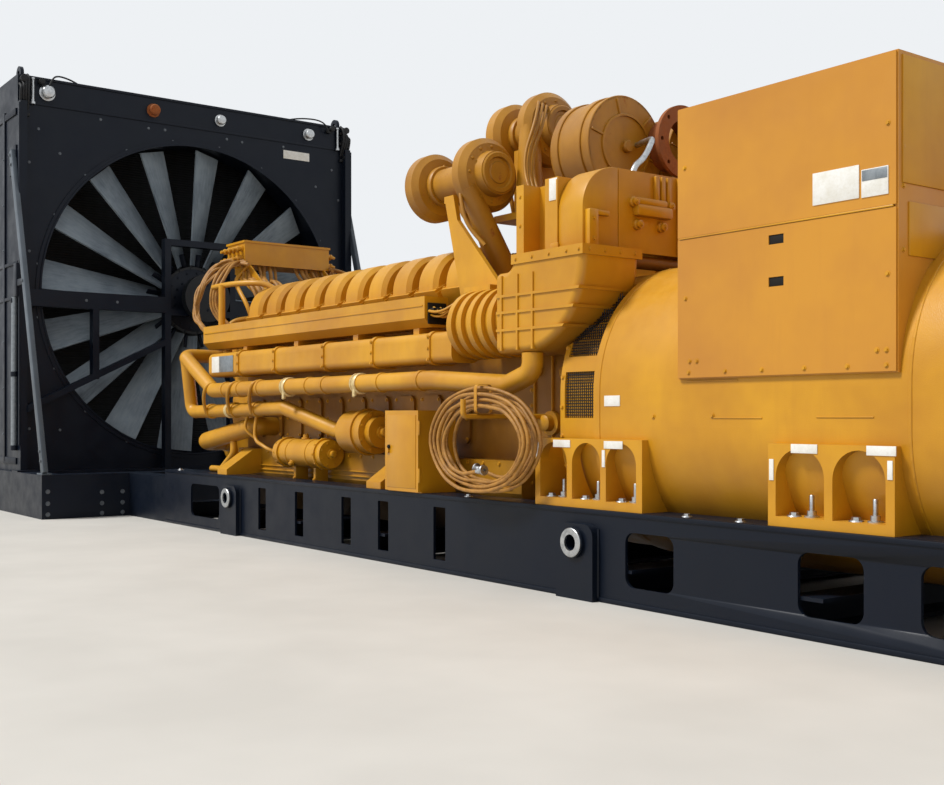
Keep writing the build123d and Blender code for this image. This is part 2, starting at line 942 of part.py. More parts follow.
# Air manifolds: long cast boxes in sections, with a runner to each cylinder

manifold_middle = (manifold_bottom + manifold_top) / 2
manifold_line = manifold_out - manifold_depth / 2

with BuildPart() as air_manifolds:
    for side in (-1, 1):
        with BuildSketch(Plane.YZ.offset(engine_front)):
            with Locations((side * manifold_line, manifold_middle)):
                RectangleRounded(manifold_depth, manifold_top - manifold_bottom, manifold_corner)
        extrude(amount=manifold_end - engine_front)
        for joint in manifold_joints:
            with BuildSketch(Plane.YZ.offset(joint - manifold_band / 2)):
                with Locations((side * manifold_line, manifold_middle)):
                    RectangleRounded(
                        manifold_depth + 2 * band_rise,
                        manifold_top - manifold_bottom + 2 * band_rise,
                        manifold_corner + band_rise,
                    )
            extrude(amount=manifold_band)
        with BuildSketch(Plane.XZ.offset(-side * block_half_width)):
            for cylinder in range(cylinder_count):
                with Locations((first_cylinder + cylinder * cylinder_pitch, manifold_middle)):
                    Rectangle(runner_width, runner_height)
        extrude(amount=-side * (manifold_line - block_half_width))
save(air_manifolds, "air_manifolds")

# Wire ducts above the manifolds, bevelled below, on brackets from the block

with BuildPart() as wire_ducts:
    bracket_reach = duct_out - duct_bevel - block_half_width
    for side in (-1, 1):
        with BuildSketch(Plane.YZ.offset(duct_front)):
            with BuildLine():
                Polyline(
                    (side * duct_out, duct_bottom + duct_bevel),
                    (side * duct_out, duct_top),
                    (side * (duct_out - duct_depth), duct_top),
                    (side * (duct_out - duct_depth), duct_bottom),
                    (side * (duct_out - duct_bevel), duct_bottom),
                    close=True,
                )
            make_face()
        extrude(amount=duct_end - duct_front)
        with BuildSketch(Plane.XZ.offset(-side * block_half_width)):
            for place in duct_bracket_places:
                with Locations((place, duct_bottom - duct_bracket_height / 2)):
                    Rectangle(duct_bracket_width, duct_bracket_height)
        extrude(amount=-side * bracket_reach)
save(wire_ducts, "wire_ducts")

# Charge-air ducts: bellows, ribbed elbow and the column that turns into the cooler

elbow_middle = elbow_bottom + elbow_size / 2
elbow_top = elbow_bottom + elbow_size
elbow_head = elbow_top + elbow_inner_radius
elbow_turn_place = elbow_rear - elbow_outer_radius
elbow_turn_height = elbow_bottom + elbow_outer_radius
bellows_height = elbow_middle - bellows_drop


def elbow_outline(grown):
    turn = elbow_outer_radius + grown
    slant = turn * math.sqrt(0.5)
    inner_slant = elbow_inner_radius * math.sqrt(0.5)
    with BuildSketch() as outline:
        with BuildLine():
            Line((bellows_end, elbow_bottom - grown), (elbow_turn_place, elbow_bottom - grown))
            ThreePointArc(
                (elbow_turn_place, elbow_bottom - grown),
                (elbow_turn_place + slant, elbow_turn_height - slant),
                (elbow_turn_place + turn, elbow_turn_height),
            )
            Polyline(
                (elbow_turn_place + turn, elbow_turn_height),
                (elbow_turn_place + turn, elbow_head),
                (column_front, elbow_head),
            )
            ThreePointArc(
                (column_front, elbow_head),
                (column_front - elbow_inner_radius + inner_slant, elbow_head - inner_slant),
                (column_front - elbow_inner_radius, elbow_top),
            )
            Polyline(
                (column_front - elbow_inner_radius, elbow_top),
                (bellows_end, elbow_top),
                (bellows_end, elbow_bottom - grown),
            )
        make_face()
    return outline.sketch


with BuildPart() as charge_ducts:
    for side in (-1, 1):
        with BuildSketch(Plane.YZ.offset(manifold_end)):
            with Locations((side * elbow_line, bellows_height)):
                Circle(bellows_neck)
        extrude(amount=bellows_end - manifold_end)
        for rib in range(bellows_ribs):
            with BuildSketch(Plane.YZ.offset(manifold_end + bellows_rib + rib * bellows_pitch)):
                with Locations((side * elbow_line, bellows_height)):
                    Circle(bellows_radius)
            extrude(amount=bellows_rib)
        with BuildPart() as elbow:
            with BuildSketch(Plane.XZ.offset(-side * (elbow_line - elbow_width / 2))):
                add(elbow_outline(0))
            extrude(amount=-side * elbow_width)
            side_edges = elbow.faces().filter_by(Axis.Y).edges()
            low_edges = side_edges.filter_by_position(
                Axis.Z, elbow_bottom - seat_gap, elbow_turn_height - seat_gap
            )
            outer_edges = low_edges.filter_by_position(
                Axis.X, bellows_end + seat_gap, elbow_rear - seat_gap
            )
            rear_edges = side_edges.filter_by_position(
                Axis.X, elbow_rear - seat_gap, elbow_rear + seat_gap
            )
            fillet(outer_edges + rear_edges, radius=elbow_corner)
        with BuildSketch(Plane.XZ.offset(-side * (elbow_line - elbow_width / 2 - elbow_rib))):
            add(elbow_outline(elbow_rib))
            with BuildSketch(mode=Mode.INTERSECT):
                for height in elbow_rib_heights:
                    with Locations((bellows_end, height)):
                        Rectangle(elbow_rear, elbow_rib_width, align=(Align.MIN, Align.CENTER))
                for place in elbow_rib_places:
                    with Locations((place, elbow_rib_foot)):
                        Rectangle(
                            elbow_rib_width,
                            elbow_rib_head - elbow_rib_foot,
                            align=(Align.CENTER, Align.MIN),
                        )
        extrude(amount=-side * (elbow_width + 2 * elbow_rib))
        with BuildSketch(Plane.XY.offset(elbow_head - elbow_flange)):
            with Locations((column_front, side * elbow_line)):
                Rectangle(
                    elbow_rear + elbow_rib - column_front,
                    elbow_width + 2 * elbow_rib,
                    align=(Align.MIN, Align.CENTER),
                )
        extrude(amount=elbow_flange)
        channel_line = side * (channel_out - channel_depth / 2)
        with BuildSketch(Plane.XY.offset(elbow_top)):
            with Locations((channel_front, channel_line)):
                Rectangle(channel_strip, channel_depth, align=(Align.MIN, Align.CENTER))
        extrude(amount=channel_top - elbow_top)
        with BuildSketch(Plane.XY.offset(elbow_head)):
            with Locations((cooler_front - channel_block, channel_line)):
                Rectangle(channel_block, channel_depth, align=(Align.MIN, Align.CENTER))
            with Locations((channel_front, side * (channel_out - channel_depth + channel_web / 2))):
                Rectangle(
                    cooler_front - channel_front, channel_web, align=(Align.MIN, Align.CENTER)
                )
        extrude(amount=channel_top - elbow_head)
save(charge_ducts, "charge_air_ducts")

# Charge-air cooler across the set above the flywheel, with rounded end housings

cooler_core_half = cooler_half_width - cooler_end_width
cooler_start = cooler_front + seat_gap
cooler_bottom = elbow_head + seat_gap
centred_block(
    cooler_start, cooler_start + cooler_length, cooler_core_half, cooler_bottom, cooler_top,
    "charge_air_cooler",
)

with BuildPart() as cooler_ends:
    for side in (-1, 1):
        with BuildSketch(Plane.YZ.offset(cooler_start)) as end_section:
            with Locations((side * (cooler_core_half + cooler_end_width / 2), cooler_bottom)):
                Rectangle(
                    cooler_end_width, cooler_top - cooler_bottom, align=(Align.CENTER, Align.MIN)
                )
            outer_corner = end_section.vertices().sort_by(Axis.Y)[-2:].sort_by(
                lambda corner: side * corner.Y
            )[-1]
            fillet(outer_corner, radius=cooler_end_corner)
        extrude(amount=cooler_length)
save(cooler_ends, "cooler_ends")

# Exhaust manifolds in the valley between the banks, on short legs

exhaust_height = valley_floor + exhaust_rise
last_cylinder = first_cylinder + (cylinder_count - 1) * cylinder_pitch
exhaust_front = first_cylinder - head_width / 2
exhaust_rear = last_cylinder + head_width / 2

with BuildPart() as exhaust_manifolds:
    with BuildSketch(Plane.YZ.offset(exhaust_front)):
        with Locations((-exhaust_line, exhaust_height), (exhaust_line, exhaust_height)):
            Circle(exhaust_radius)
    extrude(amount=exhaust_rear - exhaust_front)
    with BuildSketch(Plane.XY.offset(valley_floor)):
        for place in exhaust_leg_places:
            with Locations((place, -exhaust_line), (place, exhaust_line)):
                Rectangle(exhaust_leg_length, exhaust_leg_width)
    extrude(amount=exhaust_height - valley_floor)
save(exhaust_manifolds, "exhaust_manifolds")

# Pedestal from the flywheel housing to the table, the saddle on it, and the side brackets

table_bottom = exhaust_height + exhaust_radius + table_clearance
table_height = table_bottom + table_thickness
low_turbo_height = table_height + turbo_radius
high_turbo_height = low_turbo_height + turbo_step
bracket_foot_bottom = bellows_height + bellows_radius
bracket_foot_top = bracket_foot_bottom + bracket_foot_thickness
bracket_head = low_turbo_height - turbo_neck_radius

with BuildPart() as pedestal:
    pedestal_front = engine_rear + pedestal_inset
    pedestal_rear = flywheel_rear - pedestal_inset
    with BuildSketch(Plane.XY.offset(flywheel_top)):
        with Locations(((pedestal_front + pedestal_rear) / 2, 0)):
            Rectangle(pedestal_rear - pedestal_front, 2 * (valley_half_width - pedestal_inset))
    with BuildSketch(Plane.XY.offset(table_bottom)):
        with Locations(((pedestal_head_front + pedestal_rear) / 2, 0)):
            Rectangle(pedestal_rear - pedestal_head_front, 2 * pedestal_head_half)
    loft(ruled=True)
    with BuildSketch(Plane.XY.offset(table_bottom)):
        with Locations(((table_front + table_rear) / 2, 0)):
            Rectangle(table_rear - table_front, 2 * table_half_width)
    extrude(amount=table_thickness)
    with BuildSketch(Plane.XY.offset(table_height)):
        with Locations(((high_turbine_place + high_compressor_place) / 2, 0)):
            Rectangle(saddle_length, 2 * (high_turbo_line + turbo_neck_radius))
    extrude(amount=high_turbo_height - turbo_neck_radius - table_height)
    for side in (-1, 1):
        with BuildSketch(Plane.YZ.offset(bracket_tongue_front)):
            with BuildLine():
                Polyline(
                    deck_point(side, bracket_foot_bottom),
                    (side * (elbow_line + bracket_thickness), bracket_foot_bottom),
                    (side * (elbow_line + bracket_thickness), bracket_foot_top),
                    deck_point(side, bracket_foot_top),
                    close=True,
                )
            make_face()
        extrude(amount=bracket_foot_rear - bracket_tongue_front)
        with BuildSketch(Plane.XZ.offset(-side * (bracket_line - bracket_thickness))):
            with BuildLine():
                Polyline(
                    (bracket_head_front, bracket_head),
                    (bracket_head_rear, bracket_head),
                    (bracket_head_rear + bracket_bar, table_bottom),
                    (bracket_foot_rear - bracket_bar, bracket_foot_top),
                    (bracket_foot_rear - bracket_bar, bracket_foot_bottom),
                    (bracket_foot_front, bracket_foot_bottom),
                    close=True,
                )
            make_face()
        extrude(amount=-side * 2 * bracket_thickness)
        with BuildSketch(Plane.XY.offset(bracket_head - bracket_bar)):
            bar_width = bracket_line + bracket_thickness - low_turbo_line + bracket_bar
            bar_middle = bracket_line + bracket_thickness - bar_width / 2
            with Locations(((bracket_head_front + bracket_head_rear) / 2, side * bar_middle)):
                Rectangle(bracket_head_rear - bracket_head_front, bar_width)
        extrude(amount=bracket_bar)
save(pedestal, "turbo_pedestal")

# Turbochargers: turbine drum, bearing neck and compressor scroll with its outlet


def turbocharger(turbine_x, compressor_x, y, z, outlet_direction, outlet_length, label):
    r = turbo_radius
    side = math.copysign(1, y)
    sideways = Vector(0, -side * outlet_direction.Z, side * outlet_direction.Y)
    with BuildPart() as turbo:
        with BuildSketch(Plane((0, y, z), (1, 0, 0), (0, -1, 0))):
            with BuildLine():
                Polyline(
                    (turbine_x - 85, 0),
                    (turbine_x - 85, r * 0.42),
                    (turbine_x - 60, r * 0.45),
                    (turbine_x - 55, r * 0.82),
                    (turbine_x - 25, r * 0.96),
                    (turbine_x + 45, r * 0.96),
                    (turbine_x + 75, r * 0.8),
                    (turbine_x + 85, turbo_neck_radius),
                    (compressor_x - 95, turbo_neck_radius),
                    (compressor_x - 85, r * 0.84),
                    (compressor_x - 45, r),
                    (compressor_x + 15, r),
                    (compressor_x + 50, r * 0.84),
                    (compressor_x + 60, r * 0.62),
                    (compressor_x + 120, r * 0.58),
                    (compressor_x + 120, r * 0.46),
                    (compressor_x + 100, r * 0.44),
                    (compressor_x + 100, 0),
                    close=True,
                )
            make_face()
        revolve(axis=Axis((0, y, z), (1, 0, 0)))
        start = Vector(compressor_x, y, z) + sideways * (r - outlet_start_radius)
        with BuildSketch(Plane(start, x_dir=(1, 0, 0), z_dir=outlet_direction)):
            Circle(outlet_start_radius)
        end = start + outlet_direction * outlet_length
        with BuildSketch(Plane(end, x_dir=(1, 0, 0), z_dir=outlet_direction)):
            Circle(outlet_end_radius)
        loft()
    save(turbo, label)


for side, name in ((-1, "near"), (1, "far")):
    deck_inward = Vector(0, -side * math.sin(lean), -math.cos(lean))
    scroll_edge = turbo_radius - outlet_start_radius
    edge_y = low_turbo_line + math.cos(lean) * scroll_edge
    edge_z = low_turbo_height - math.sin(lean) * scroll_edge
    edge_along = math.sin(lean) * edge_y + math.cos(lean) * (edge_z - crank_height)
    turbocharger(
        low_turbine_place, low_compressor_place, side * low_turbo_line, low_turbo_height,
        deck_inward, edge_along - deck_distance, f"turbocharger_low_{name}",
    )
    turbocharger(
        high_turbine_place, high_compressor_place, side * high_turbo_line, high_turbo_height,
        Vector(0, 0, -1), high_turbo_height - table_height, f"turbocharger_high_{name}",
    )

# Exhaust collector drums, and the flue with its bolted flange behind them

with BuildPart() as collectors:
    with BuildSketch(Plane.YZ.offset(collector_front)):
        for side in (-1, 1):
            with Locations((side * collector_line, table_height + collector_radius)):
                Circle(collector_radius)
    extrude(amount=collector_rear - collector_front)
    fillet(collectors.edges().group_by(Axis.X)[0], radius=collector_round)
save(collectors, "exhaust_collectors")

flue_height = table_height + flue_rise
flue_end = collector_rear + flue_length

with BuildPart() as exhaust_outlet:
    with BuildSketch(Plane.YZ.offset(collector_rear)):
        with Locations((0, flue_height)):
            Circle(flue_radius + flue_wall)
    extrude(amount=flue_length)
    with BuildSketch(Plane.YZ.offset(flue_end)):
        with Locations((0, flue_height)):
            Circle(flue_radius + flue_flange)
            with PolarLocations(flue_radius + (flue_flange + flue_wall) / 2, flue_bolt_count):
                Circle(flue_bolt_radius, mode=Mode.SUBTRACT)
    extrude(amount=flue_flange_thickness)
    with BuildSketch(Plane.YZ.offset(collector_rear)):
        with Locations((0, flue_height)):
            Circle(flue_radius)
    extrude(amount=flue_length + flue_flange_thickness, mode=Mode.SUBTRACT)
save(exhaust_outlet, "exhaust_outlet")

# Pipes along each long side: the upper water pipe with its branch, and the feed with a drain

housing_line = block_half_width + door_rise + housing_radius + seat_gap
drain_height = rail_height + drain_radius + seat_gap
feed_end = first_cylinder + cylinder_pitch

with BuildPart() as water_pipes:
    for side in (-1, 1):
        add(bent_pipe(
            water_pipe_radius,
            pipe_bend,
            (
                water_pipe_front,
                side * (high_pump_line + high_pump_radius / 2 + pump_neck_length),
                high_pump_height,
            ),
            (water_pipe_front, side * pipe_line, high_pump_height),
            (-1684, side * pipe_line, 1062),
            (1255, side * pipe_line, 1072),
            (1942, side * pipe_line, 1030),
            (2140, side * pipe_line, 1090),
            (2140, side * pipe_line, elbow_bottom),
        ))
        add(bent_pipe(
            lower_pipe_radius,
            pipe_bend,
            (-2190, side * pipe_line, 1300),
            (-2190, side * lower_pipe_line, 898),
            (-620, side * lower_pipe_line, 922),
            (housing_front - 120, side * housing_line, housing_height),
            (housing_front, side * housing_line, housing_height),
        ))
        add(bent_pipe(
            feed_pipe_radius,
            pipe_bend,
            (
                low_neck_place,
                side * (low_pump_line + low_pump_radius / 2 + pump_neck_length),
                low_neck_height,
            ),
            (low_neck_place, side * feed_pipe_line, low_neck_height),
            (-1450, side * feed_pipe_line, 760),
            (feed_end, side * feed_pipe_line, 790),
            (feed_end, side * (block_half_width + door_rise), 790),
        ))
        add(bent_pipe(
            drain_radius,
            pipe_bend,
            (-1600, side * feed_pipe_line, 720),
            (-1600, side * feed_pipe_line, 580),
            (-1750, side * 850, drain_height),
            (-1900, side * 860, drain_height),
        ))
save(water_pipes, "water_pipes")

# Oil coolers: a flanged tube along the pan rail, and a collared round housing behind it

with BuildPart() as oil_coolers:
    for side in (-1, 1):
        flange_radius = oil_cooler_radius + oil_cooler_flange
        cooler_line = side * (pan_shoulder_half + flange_radius + seat_gap)
        with BuildSketch(Plane.YZ.offset(oil_cooler_front)):
            with Locations((cooler_line, oil_cooler_height)):
                Circle(oil_cooler_radius)
        extrude(amount=oil_cooler_rear - oil_cooler_front)
        for start in (
            oil_cooler_front + oil_cooler_flange_inset,
            oil_cooler_rear - oil_cooler_flange_inset - 2 * oil_cooler_flange,
        ):
            with BuildSketch(Plane.YZ.offset(start)):
                with Locations((cooler_line, oil_cooler_height)):
                    Circle(flange_radius)
            extrude(amount=2 * oil_cooler_flange)
        for share, start, end in (
            (0.66, 0.0, 1.0),
            (0.92, 0.15, 0.85),
            (1.0, 0.55, 0.55 + housing_collar / housing_length),
        ):
            with BuildSketch(Plane.YZ.offset(housing_front + housing_length * start)):
                with Locations((side * housing_line, housing_height)):
                    Circle(housing_radius * share)
            extrude(amount=housing_length * (end - start))
save(oil_coolers, "oil_coolers")

# Generator: drum body, front bell with recessed air windows, rear end bell

generator_middle = (generator_top + generator_bottom) / 2
generator_height = generator_top - generator_bottom


def drum_section(inset, mode=Mode.ADD):
    with Locations((0, generator_middle)):
        RectangleRounded(
            2 * (generator_half_width - inset),
            generator_height - 2 * inset,
            generator_corner - inset,
            mode=mode,
        )


with BuildPart() as drum:
    with BuildSketch(Plane.YZ.offset(generator_front)):
        drum_section(0)
    extrude(amount=generator_rear - generator_front)
save(drum, "generator_drum")

with BuildPart() as front_bell:
    with BuildSketch(Plane.YZ.offset(flywheel_rear)):
        with Locations((0, crank_height)):
            Circle(bell_front_radius)
    with BuildSketch(Plane.YZ.offset(bell_front)):
        drum_section(bell_inset)
    loft(ruled=True)
    with BuildSketch(Plane.YZ.offset(bell_front)):
        drum_section(bell_inset)
    extrude(amount=generator_front - bell_front)
    for low, high in screen_spans:
        with BuildSketch(Plane.YZ.offset(screen_front)):
            drum_section(0)
            drum_section(bell_inset + screen_depth, mode=Mode.SUBTRACT)
            with Locations((0, (low + high) / 2)):
                Rectangle(2 * generator_half_width, high - low, mode=Mode.INTERSECT)
        extrude(amount=screen_rear - screen_front, mode=Mode.SUBTRACT)
    for side in (-1, 1):
        with BuildSketch(Plane.XZ.offset(-side * (flywheel_half_width - elbow_clearance))):
            with Locations((elbow_turn_place, elbow_turn_height)):
                Circle(elbow_outer_radius + elbow_rib + elbow_clearance)
            with Locations((elbow_turn_place, bell_notch_height)):
                Rectangle(
                    2 * elbow_outer_radius, 2 * elbow_outer_radius, align=(Align.MIN, Align.MIN)
                )
        extrude(amount=-side * generator_half_width, mode=Mode.SUBTRACT)
save(front_bell, "generator_front_bell")

with BuildPart() as end_bell:
    with BuildSketch(Plane.YZ.offset(generator_rear)):
        drum_section(bell_inset)
    extrude(amount=end_bell_depth)
    chamfer(end_bell.faces().sort_by(Axis.X)[-1].edges(), length=end_bell_chamfer)
    with BuildSketch(Plane.YZ.offset(generator_rear + end_bell_depth)):
        with Locations((0, crank_height)):
            Circle(exciter_radius)
    extrude(amount=exciter_depth)
save(end_bell, "generator_end_bell")

# Generator feet: a base plate and upright ribs with arched pockets between them

with BuildPart() as feet:
    for side in (-1, 1):
        foot_middle = side * (foot_out - foot_depth / 2)
        for x_low, x_high, pockets in foot_spans:
            with BuildSketch(Plane.XY.offset(rail_height)):
                with Locations(((x_low + x_high) / 2, foot_middle)):
                    Rectangle(x_high - x_low, foot_depth)
            extrude(amount=foot_height)
            pocket_pitch = (x_high - x_low - foot_strip) / pockets
            pocket_width = pocket_pitch - foot_strip
            arch = rail_height + foot_height - foot_strip / 2 - pocket_width / 2
            floor = rail_height + foot_base
            with BuildSketch(Plane.XZ.offset(-side * foot_out)):
                for pocket in range(pockets):
                    middle = x_low + foot_strip / 2 + pocket_pitch * (pocket + 0.5)
                    with Locations((middle, (arch + floor) / 2)):
                        Rectangle(pocket_width, arch - floor)
                    with Locations((middle, arch)):
                        Circle(pocket_width / 2)
            extrude(amount=side * (foot_depth + seat_gap), mode=Mode.SUBTRACT)
    with BuildSketch(Plane.YZ.offset(flywheel_rear)):
        drum_section(-seat_gap)
    extrude(amount=generator_rear - flywheel_rear, mode=Mode.SUBTRACT)
save(feet, "generator_feet")

# Terminal box: upper housing across the drum, a skirt down each side, raised side covers

terminal_middle = (terminal_front + terminal_rear) / 2
cover_length = terminal_rear - terminal_front - panel_reveal

with BuildPart() as terminal_box:
    with BuildSketch(Plane.XY.offset(terminal_seam)):
        with Locations((terminal_middle, 0)):
            Rectangle(terminal_rear - terminal_front, 2 * terminal_half_width)
    extrude(amount=terminal_top - terminal_seam)
    for side in (-1, 1):
        with BuildSketch(Plane.XZ.offset(-side * terminal_half_width)):
            with Locations((terminal_middle, (terminal_seam + terminal_top) / 2)):
                Rectangle(cover_length, terminal_top - terminal_seam - panel_reveal)
        extrude(amount=-side * panel_thickness)
save(terminal_box, "terminal_box")

with BuildPart() as terminal_skirts:
    with BuildSketch(Plane.YZ.offset(terminal_front)):
        for side in (-1, 1):
            skirt_middle = side * (terminal_half_width - skirt_depth / 2)
            with Locations((skirt_middle, (terminal_bottom + terminal_seam) / 2)):
                Rectangle(skirt_depth, terminal_seam - terminal_bottom)
        drum_section(-seat_gap, mode=Mode.SUBTRACT)
    extrude(amount=terminal_rear - terminal_front)
    for side in (-1, 1):
        with BuildSketch(Plane.XZ.offset(-side * terminal_half_width)):
            with Locations((terminal_middle, (terminal_bottom + terminal_seam) / 2)):
                Rectangle(cover_length, terminal_seam - terminal_bottom - panel_reveal)
            with Locations(*[(handle_place, height) for height in handle_heights]):
                Rectangle(handle_width, handle_height, mode=Mode.SUBTRACT)
        extrude(amount=-side * panel_thickness)
save(terminal_skirts, "terminal_skirts")

# Junction box on the near rail, with its hinged door

junction_middle = (junction_left + junction_right) / 2
junction_centre = (rail_height + junction_top) / 2
junction_width = junction_right - junction_left
junction_height = junction_top - rail_height

with BuildPart() as junction_box:
    with BuildSketch(Plane.XZ.offset(junction_out - junction_depth)):
        with Locations((junction_middle, junction_centre)):
            Rectangle(junction_width, junction_height)
    extrude(amount=junction_depth)
    front_face = junction_box.faces().sort_by(Axis.Y)[0]
    offset(amount=-junction_wall, openings=front_face)
save(junction_box, "junction_box")

with BuildPart() as junction_door:
    with BuildSketch(Plane.XZ.offset(junction_out + seat_gap)):
        with Locations((junction_middle, junction_centre + door_trim)):
            Rectangle(junction_width, junction_height - 2 * door_trim)
    extrude(amount=door_thickness)
    with BuildSketch(Plane.XZ.offset(junction_out + seat_gap + door_thickness)):
        with Locations((junction_left + latch_inset, junction_centre)):
            Circle(latch_radius)
    extrude(amount=latch_radius)
save(junction_door, "junction_box_door")

# Coiled hose hung on a hook beside the flywheel housing

coil_middle = (coil_left + coil_right) / 2

with BuildPart() as hose_coil:
    coil_width = coil_right - coil_left
    coil_height = coil_top - coil_bottom
    with BuildSketch(Plane.XZ.offset(coil_in)):
        with Locations((coil_middle, (coil_bottom + coil_top) / 2)):
            Ellipse(coil_width / 2, coil_height / 2)
            Ellipse(coil_width / 2 - coil_band, coil_height / 2 - coil_band, mode=Mode.SUBTRACT)
    extrude(amount=coil_out - coil_in)
save(hose_coil, "hose_coil")

with BuildPart() as hose_hook:
    hook_height = coil_top - coil_band - hook_radius - seat_gap
    hook_end = coil_out + hook_reach
    add(bent_pipe(
        hook_radius,
        1.5 * hook_radius,
        (coil_middle, -flywheel_half_width, hook_height),
        (coil_middle, -hook_end, hook_height),
        (coil_middle, -hook_end, hook_height + hook_tip),
    ))
save(hose_hook, "hose_hook")
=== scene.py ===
from math import ceil, cos, pi, radians, sin, sqrt

import bmesh
import bpy
from bpy.props import FloatProperty, FloatVectorProperty, PointerProperty
from mathutils import Matrix, Vector


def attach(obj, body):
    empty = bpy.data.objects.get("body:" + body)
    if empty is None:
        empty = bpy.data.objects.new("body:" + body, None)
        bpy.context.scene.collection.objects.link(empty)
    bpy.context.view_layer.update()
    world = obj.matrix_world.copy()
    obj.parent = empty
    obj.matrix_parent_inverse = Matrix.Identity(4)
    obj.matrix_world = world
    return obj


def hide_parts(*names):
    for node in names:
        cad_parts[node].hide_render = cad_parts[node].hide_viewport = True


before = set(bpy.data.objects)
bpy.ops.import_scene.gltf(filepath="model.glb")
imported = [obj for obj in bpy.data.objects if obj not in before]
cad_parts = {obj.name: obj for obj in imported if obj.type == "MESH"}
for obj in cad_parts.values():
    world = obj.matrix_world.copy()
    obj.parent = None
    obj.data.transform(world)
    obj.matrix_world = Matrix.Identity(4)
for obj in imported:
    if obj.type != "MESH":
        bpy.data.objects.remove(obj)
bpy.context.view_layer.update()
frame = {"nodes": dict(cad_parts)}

bl_info = {
    "name": "Diesel Generating Set",
    "version": (1, 0, 0),
    "blender": (4, 5, 0),
    "location": "View3D > Sidebar > Generating Set",
    "description": "Finishes and small parts for the CAD model of a skid-mounted diesel generating set",
    "category": "Object",
}

NODES = frame["nodes"]

# Directions: along the crankshaft, outwards from the middle, and upwards
SIDES = (-1, 1)
ALONG, BACK, OUT, UP = (1, 0, 0), (-1, 0, 0), (0, 1, 0), (0, 0, 1)

# Places and sizes of the CAD pieces that the small parts sit on, in metres. Where a piece is on both sides,
# its Y is that of the far one.

CRANK_HEIGHT = 0.9
BANK_LEAN = radians(30)
BANK_AXIS = (0.0, sin(BANK_LEAN), cos(BANK_LEAN))
CYLINDERS = [-1.56 + 0.293 * number for number in range(10)]
COVER_FLANGE = 0.971
PAN_FACE = 0.701
FLYWHEEL_SIDE = 0.6253
DOOR_FACE = 0.638
MANIFOLD_FACE = 0.959
MANIFOLD_JOINTS = (-1.25, -0.68, 0.008, 0.61, 1.222)
UPPER_PIPE, LOWER_PIPE = 0.945, 0.90
LOWER_PIPE_AXIS = (1, 0, 0.0153)
OIL_COOLER = (0.8073, 0.612)
OIL_FILTER = (DOOR_FACE + 0.150, 0.765)
COOLER_FRONT = 2.3203
COOLER_REAR = 2.5003
COOLER_SIDE = 0.93
LOW_TURBO = (0.6, 2.2655)
HIGH_TURBO = (0.24, 2.5555)
COLLECTOR = (0.30, 2.3205)
RADIATOR_FRONT = -4.163
RADIATOR_SIDE = 1.706
CORE_BOTTOM = 0.62
FAN_HEIGHT = 2.0
RING_RADIUS = 1.5
BLADES = 16
FIRST_BLADE = 15.8 / 360
RAIL_TOP = 0.43
RAIL_SLOTS = (-0.764, -0.225, 0.385, 0.814, 1.395)
RAIL_SLOT_WIDTH = 0.115
RAIL_SLOT_HEIGHT = 0.294
LUGS = (-1.23, 2.56)
DRUM_HALF = 0.95
DRUM_TOP = 1.62
DRUM_BOTTOM = 0.18
DRUM_CORNER = 0.64
COVER_FACE = 0.97
FOOT_FACE = 0.987
BOX_FRONT = 3.16
BOX_REAR = 4.25
WIRE = 0.0045
WIRE_PITCH = 0.0145


def linear(code):
    """Turns an sRGB hex code into linear red, green, blue and alpha."""
    parts = [int(code[place:place + 2], 16) / 255 for place in (0, 2, 4)]
    return tuple(c / 12.92 if c <= 0.04045 else ((c + 0.055) / 1.055) ** 2.4 for c in parts) + (1.0,)


# Settings


def colour(name, description, code):
    return FloatVectorProperty(
        name=name, description=description, default=linear(code), subtype="COLOR", size=4, min=0, max=1)


def size(name, description, default):
    return FloatProperty(
        name=name, description=description, default=default, min=0, subtype="DISTANCE", unit="LENGTH")


class EnamelSettings(bpy.types.PropertyGroup):
    machine: colour("Machine enamel", "Golden enamel on engine and generator", "DB9F18")
    machine_shade: colour("Thin enamel", "Tone where the enamel is thin or dull", "C08416")
    frame: colour("Frame enamel", "Blue-black enamel on skid and radiator", "0A1220")
    frame_shade: colour("Frame dust", "Dust film on the frame enamel", "18212E")
    rust: colour("Rust", "Heat rust around the exhaust", "8A4218")


class FastenerSettings(bpy.types.PropertyGroup):
    small: size("Small bolt", "Radius across the corners of a cover bolt's head", 0.009)
    middle: size("Middle bolt", "Radius across the corners of a flange bolt's head", 0.013)
    large: size("Large bolt", "Radius across the corners of a frame bolt's head", 0.018)


class HoseSettings(bpy.types.PropertyGroup):
    diameter: size("Hose diameter", "Outside diameter of the coiled hose", 0.020)
    length: size("Hose length", "Length of the coiled hose", 13.49)


class StageSettings(bpy.types.PropertyGroup):
    key: FloatProperty(name="Key light", description="Strength of the soft key light", default=2.7, min=0)
    sky: FloatProperty(name="Sky light", description="Strength of the even light", default=0.5, min=0)


class GensetSettings(bpy.types.PropertyGroup):
    enamel: PointerProperty(type=EnamelSettings)
    fasteners: PointerProperty(type=FastenerSettings)
    hose: PointerProperty(type=HoseSettings)
    stage: PointerProperty(type=StageSettings)


# Materials


def add_node(tree, kind, sockets=None, **settings):
    """Adds a node with its settings, values and links, and returns it."""
    made = tree.nodes.new(kind)
    for name, value in settings.items():
        setattr(made, name, value)
    for key, value in (sockets or {}).items():
        if isinstance(value, bpy.types.NodeSocket):
            tree.links.new(value, made.inputs[key])
        else:
            made.inputs[key].default_value = value
    return made


def start_material(name):
    """Returns a new material's node tree and its Object coordinates."""
    material = bpy.data.materials.new(name)
    material.use_nodes = True
    material.node_tree.nodes.clear()
    spot = add_node(material.node_tree, "ShaderNodeTexCoord").outputs["Object"]
    return material, material.node_tree, spot


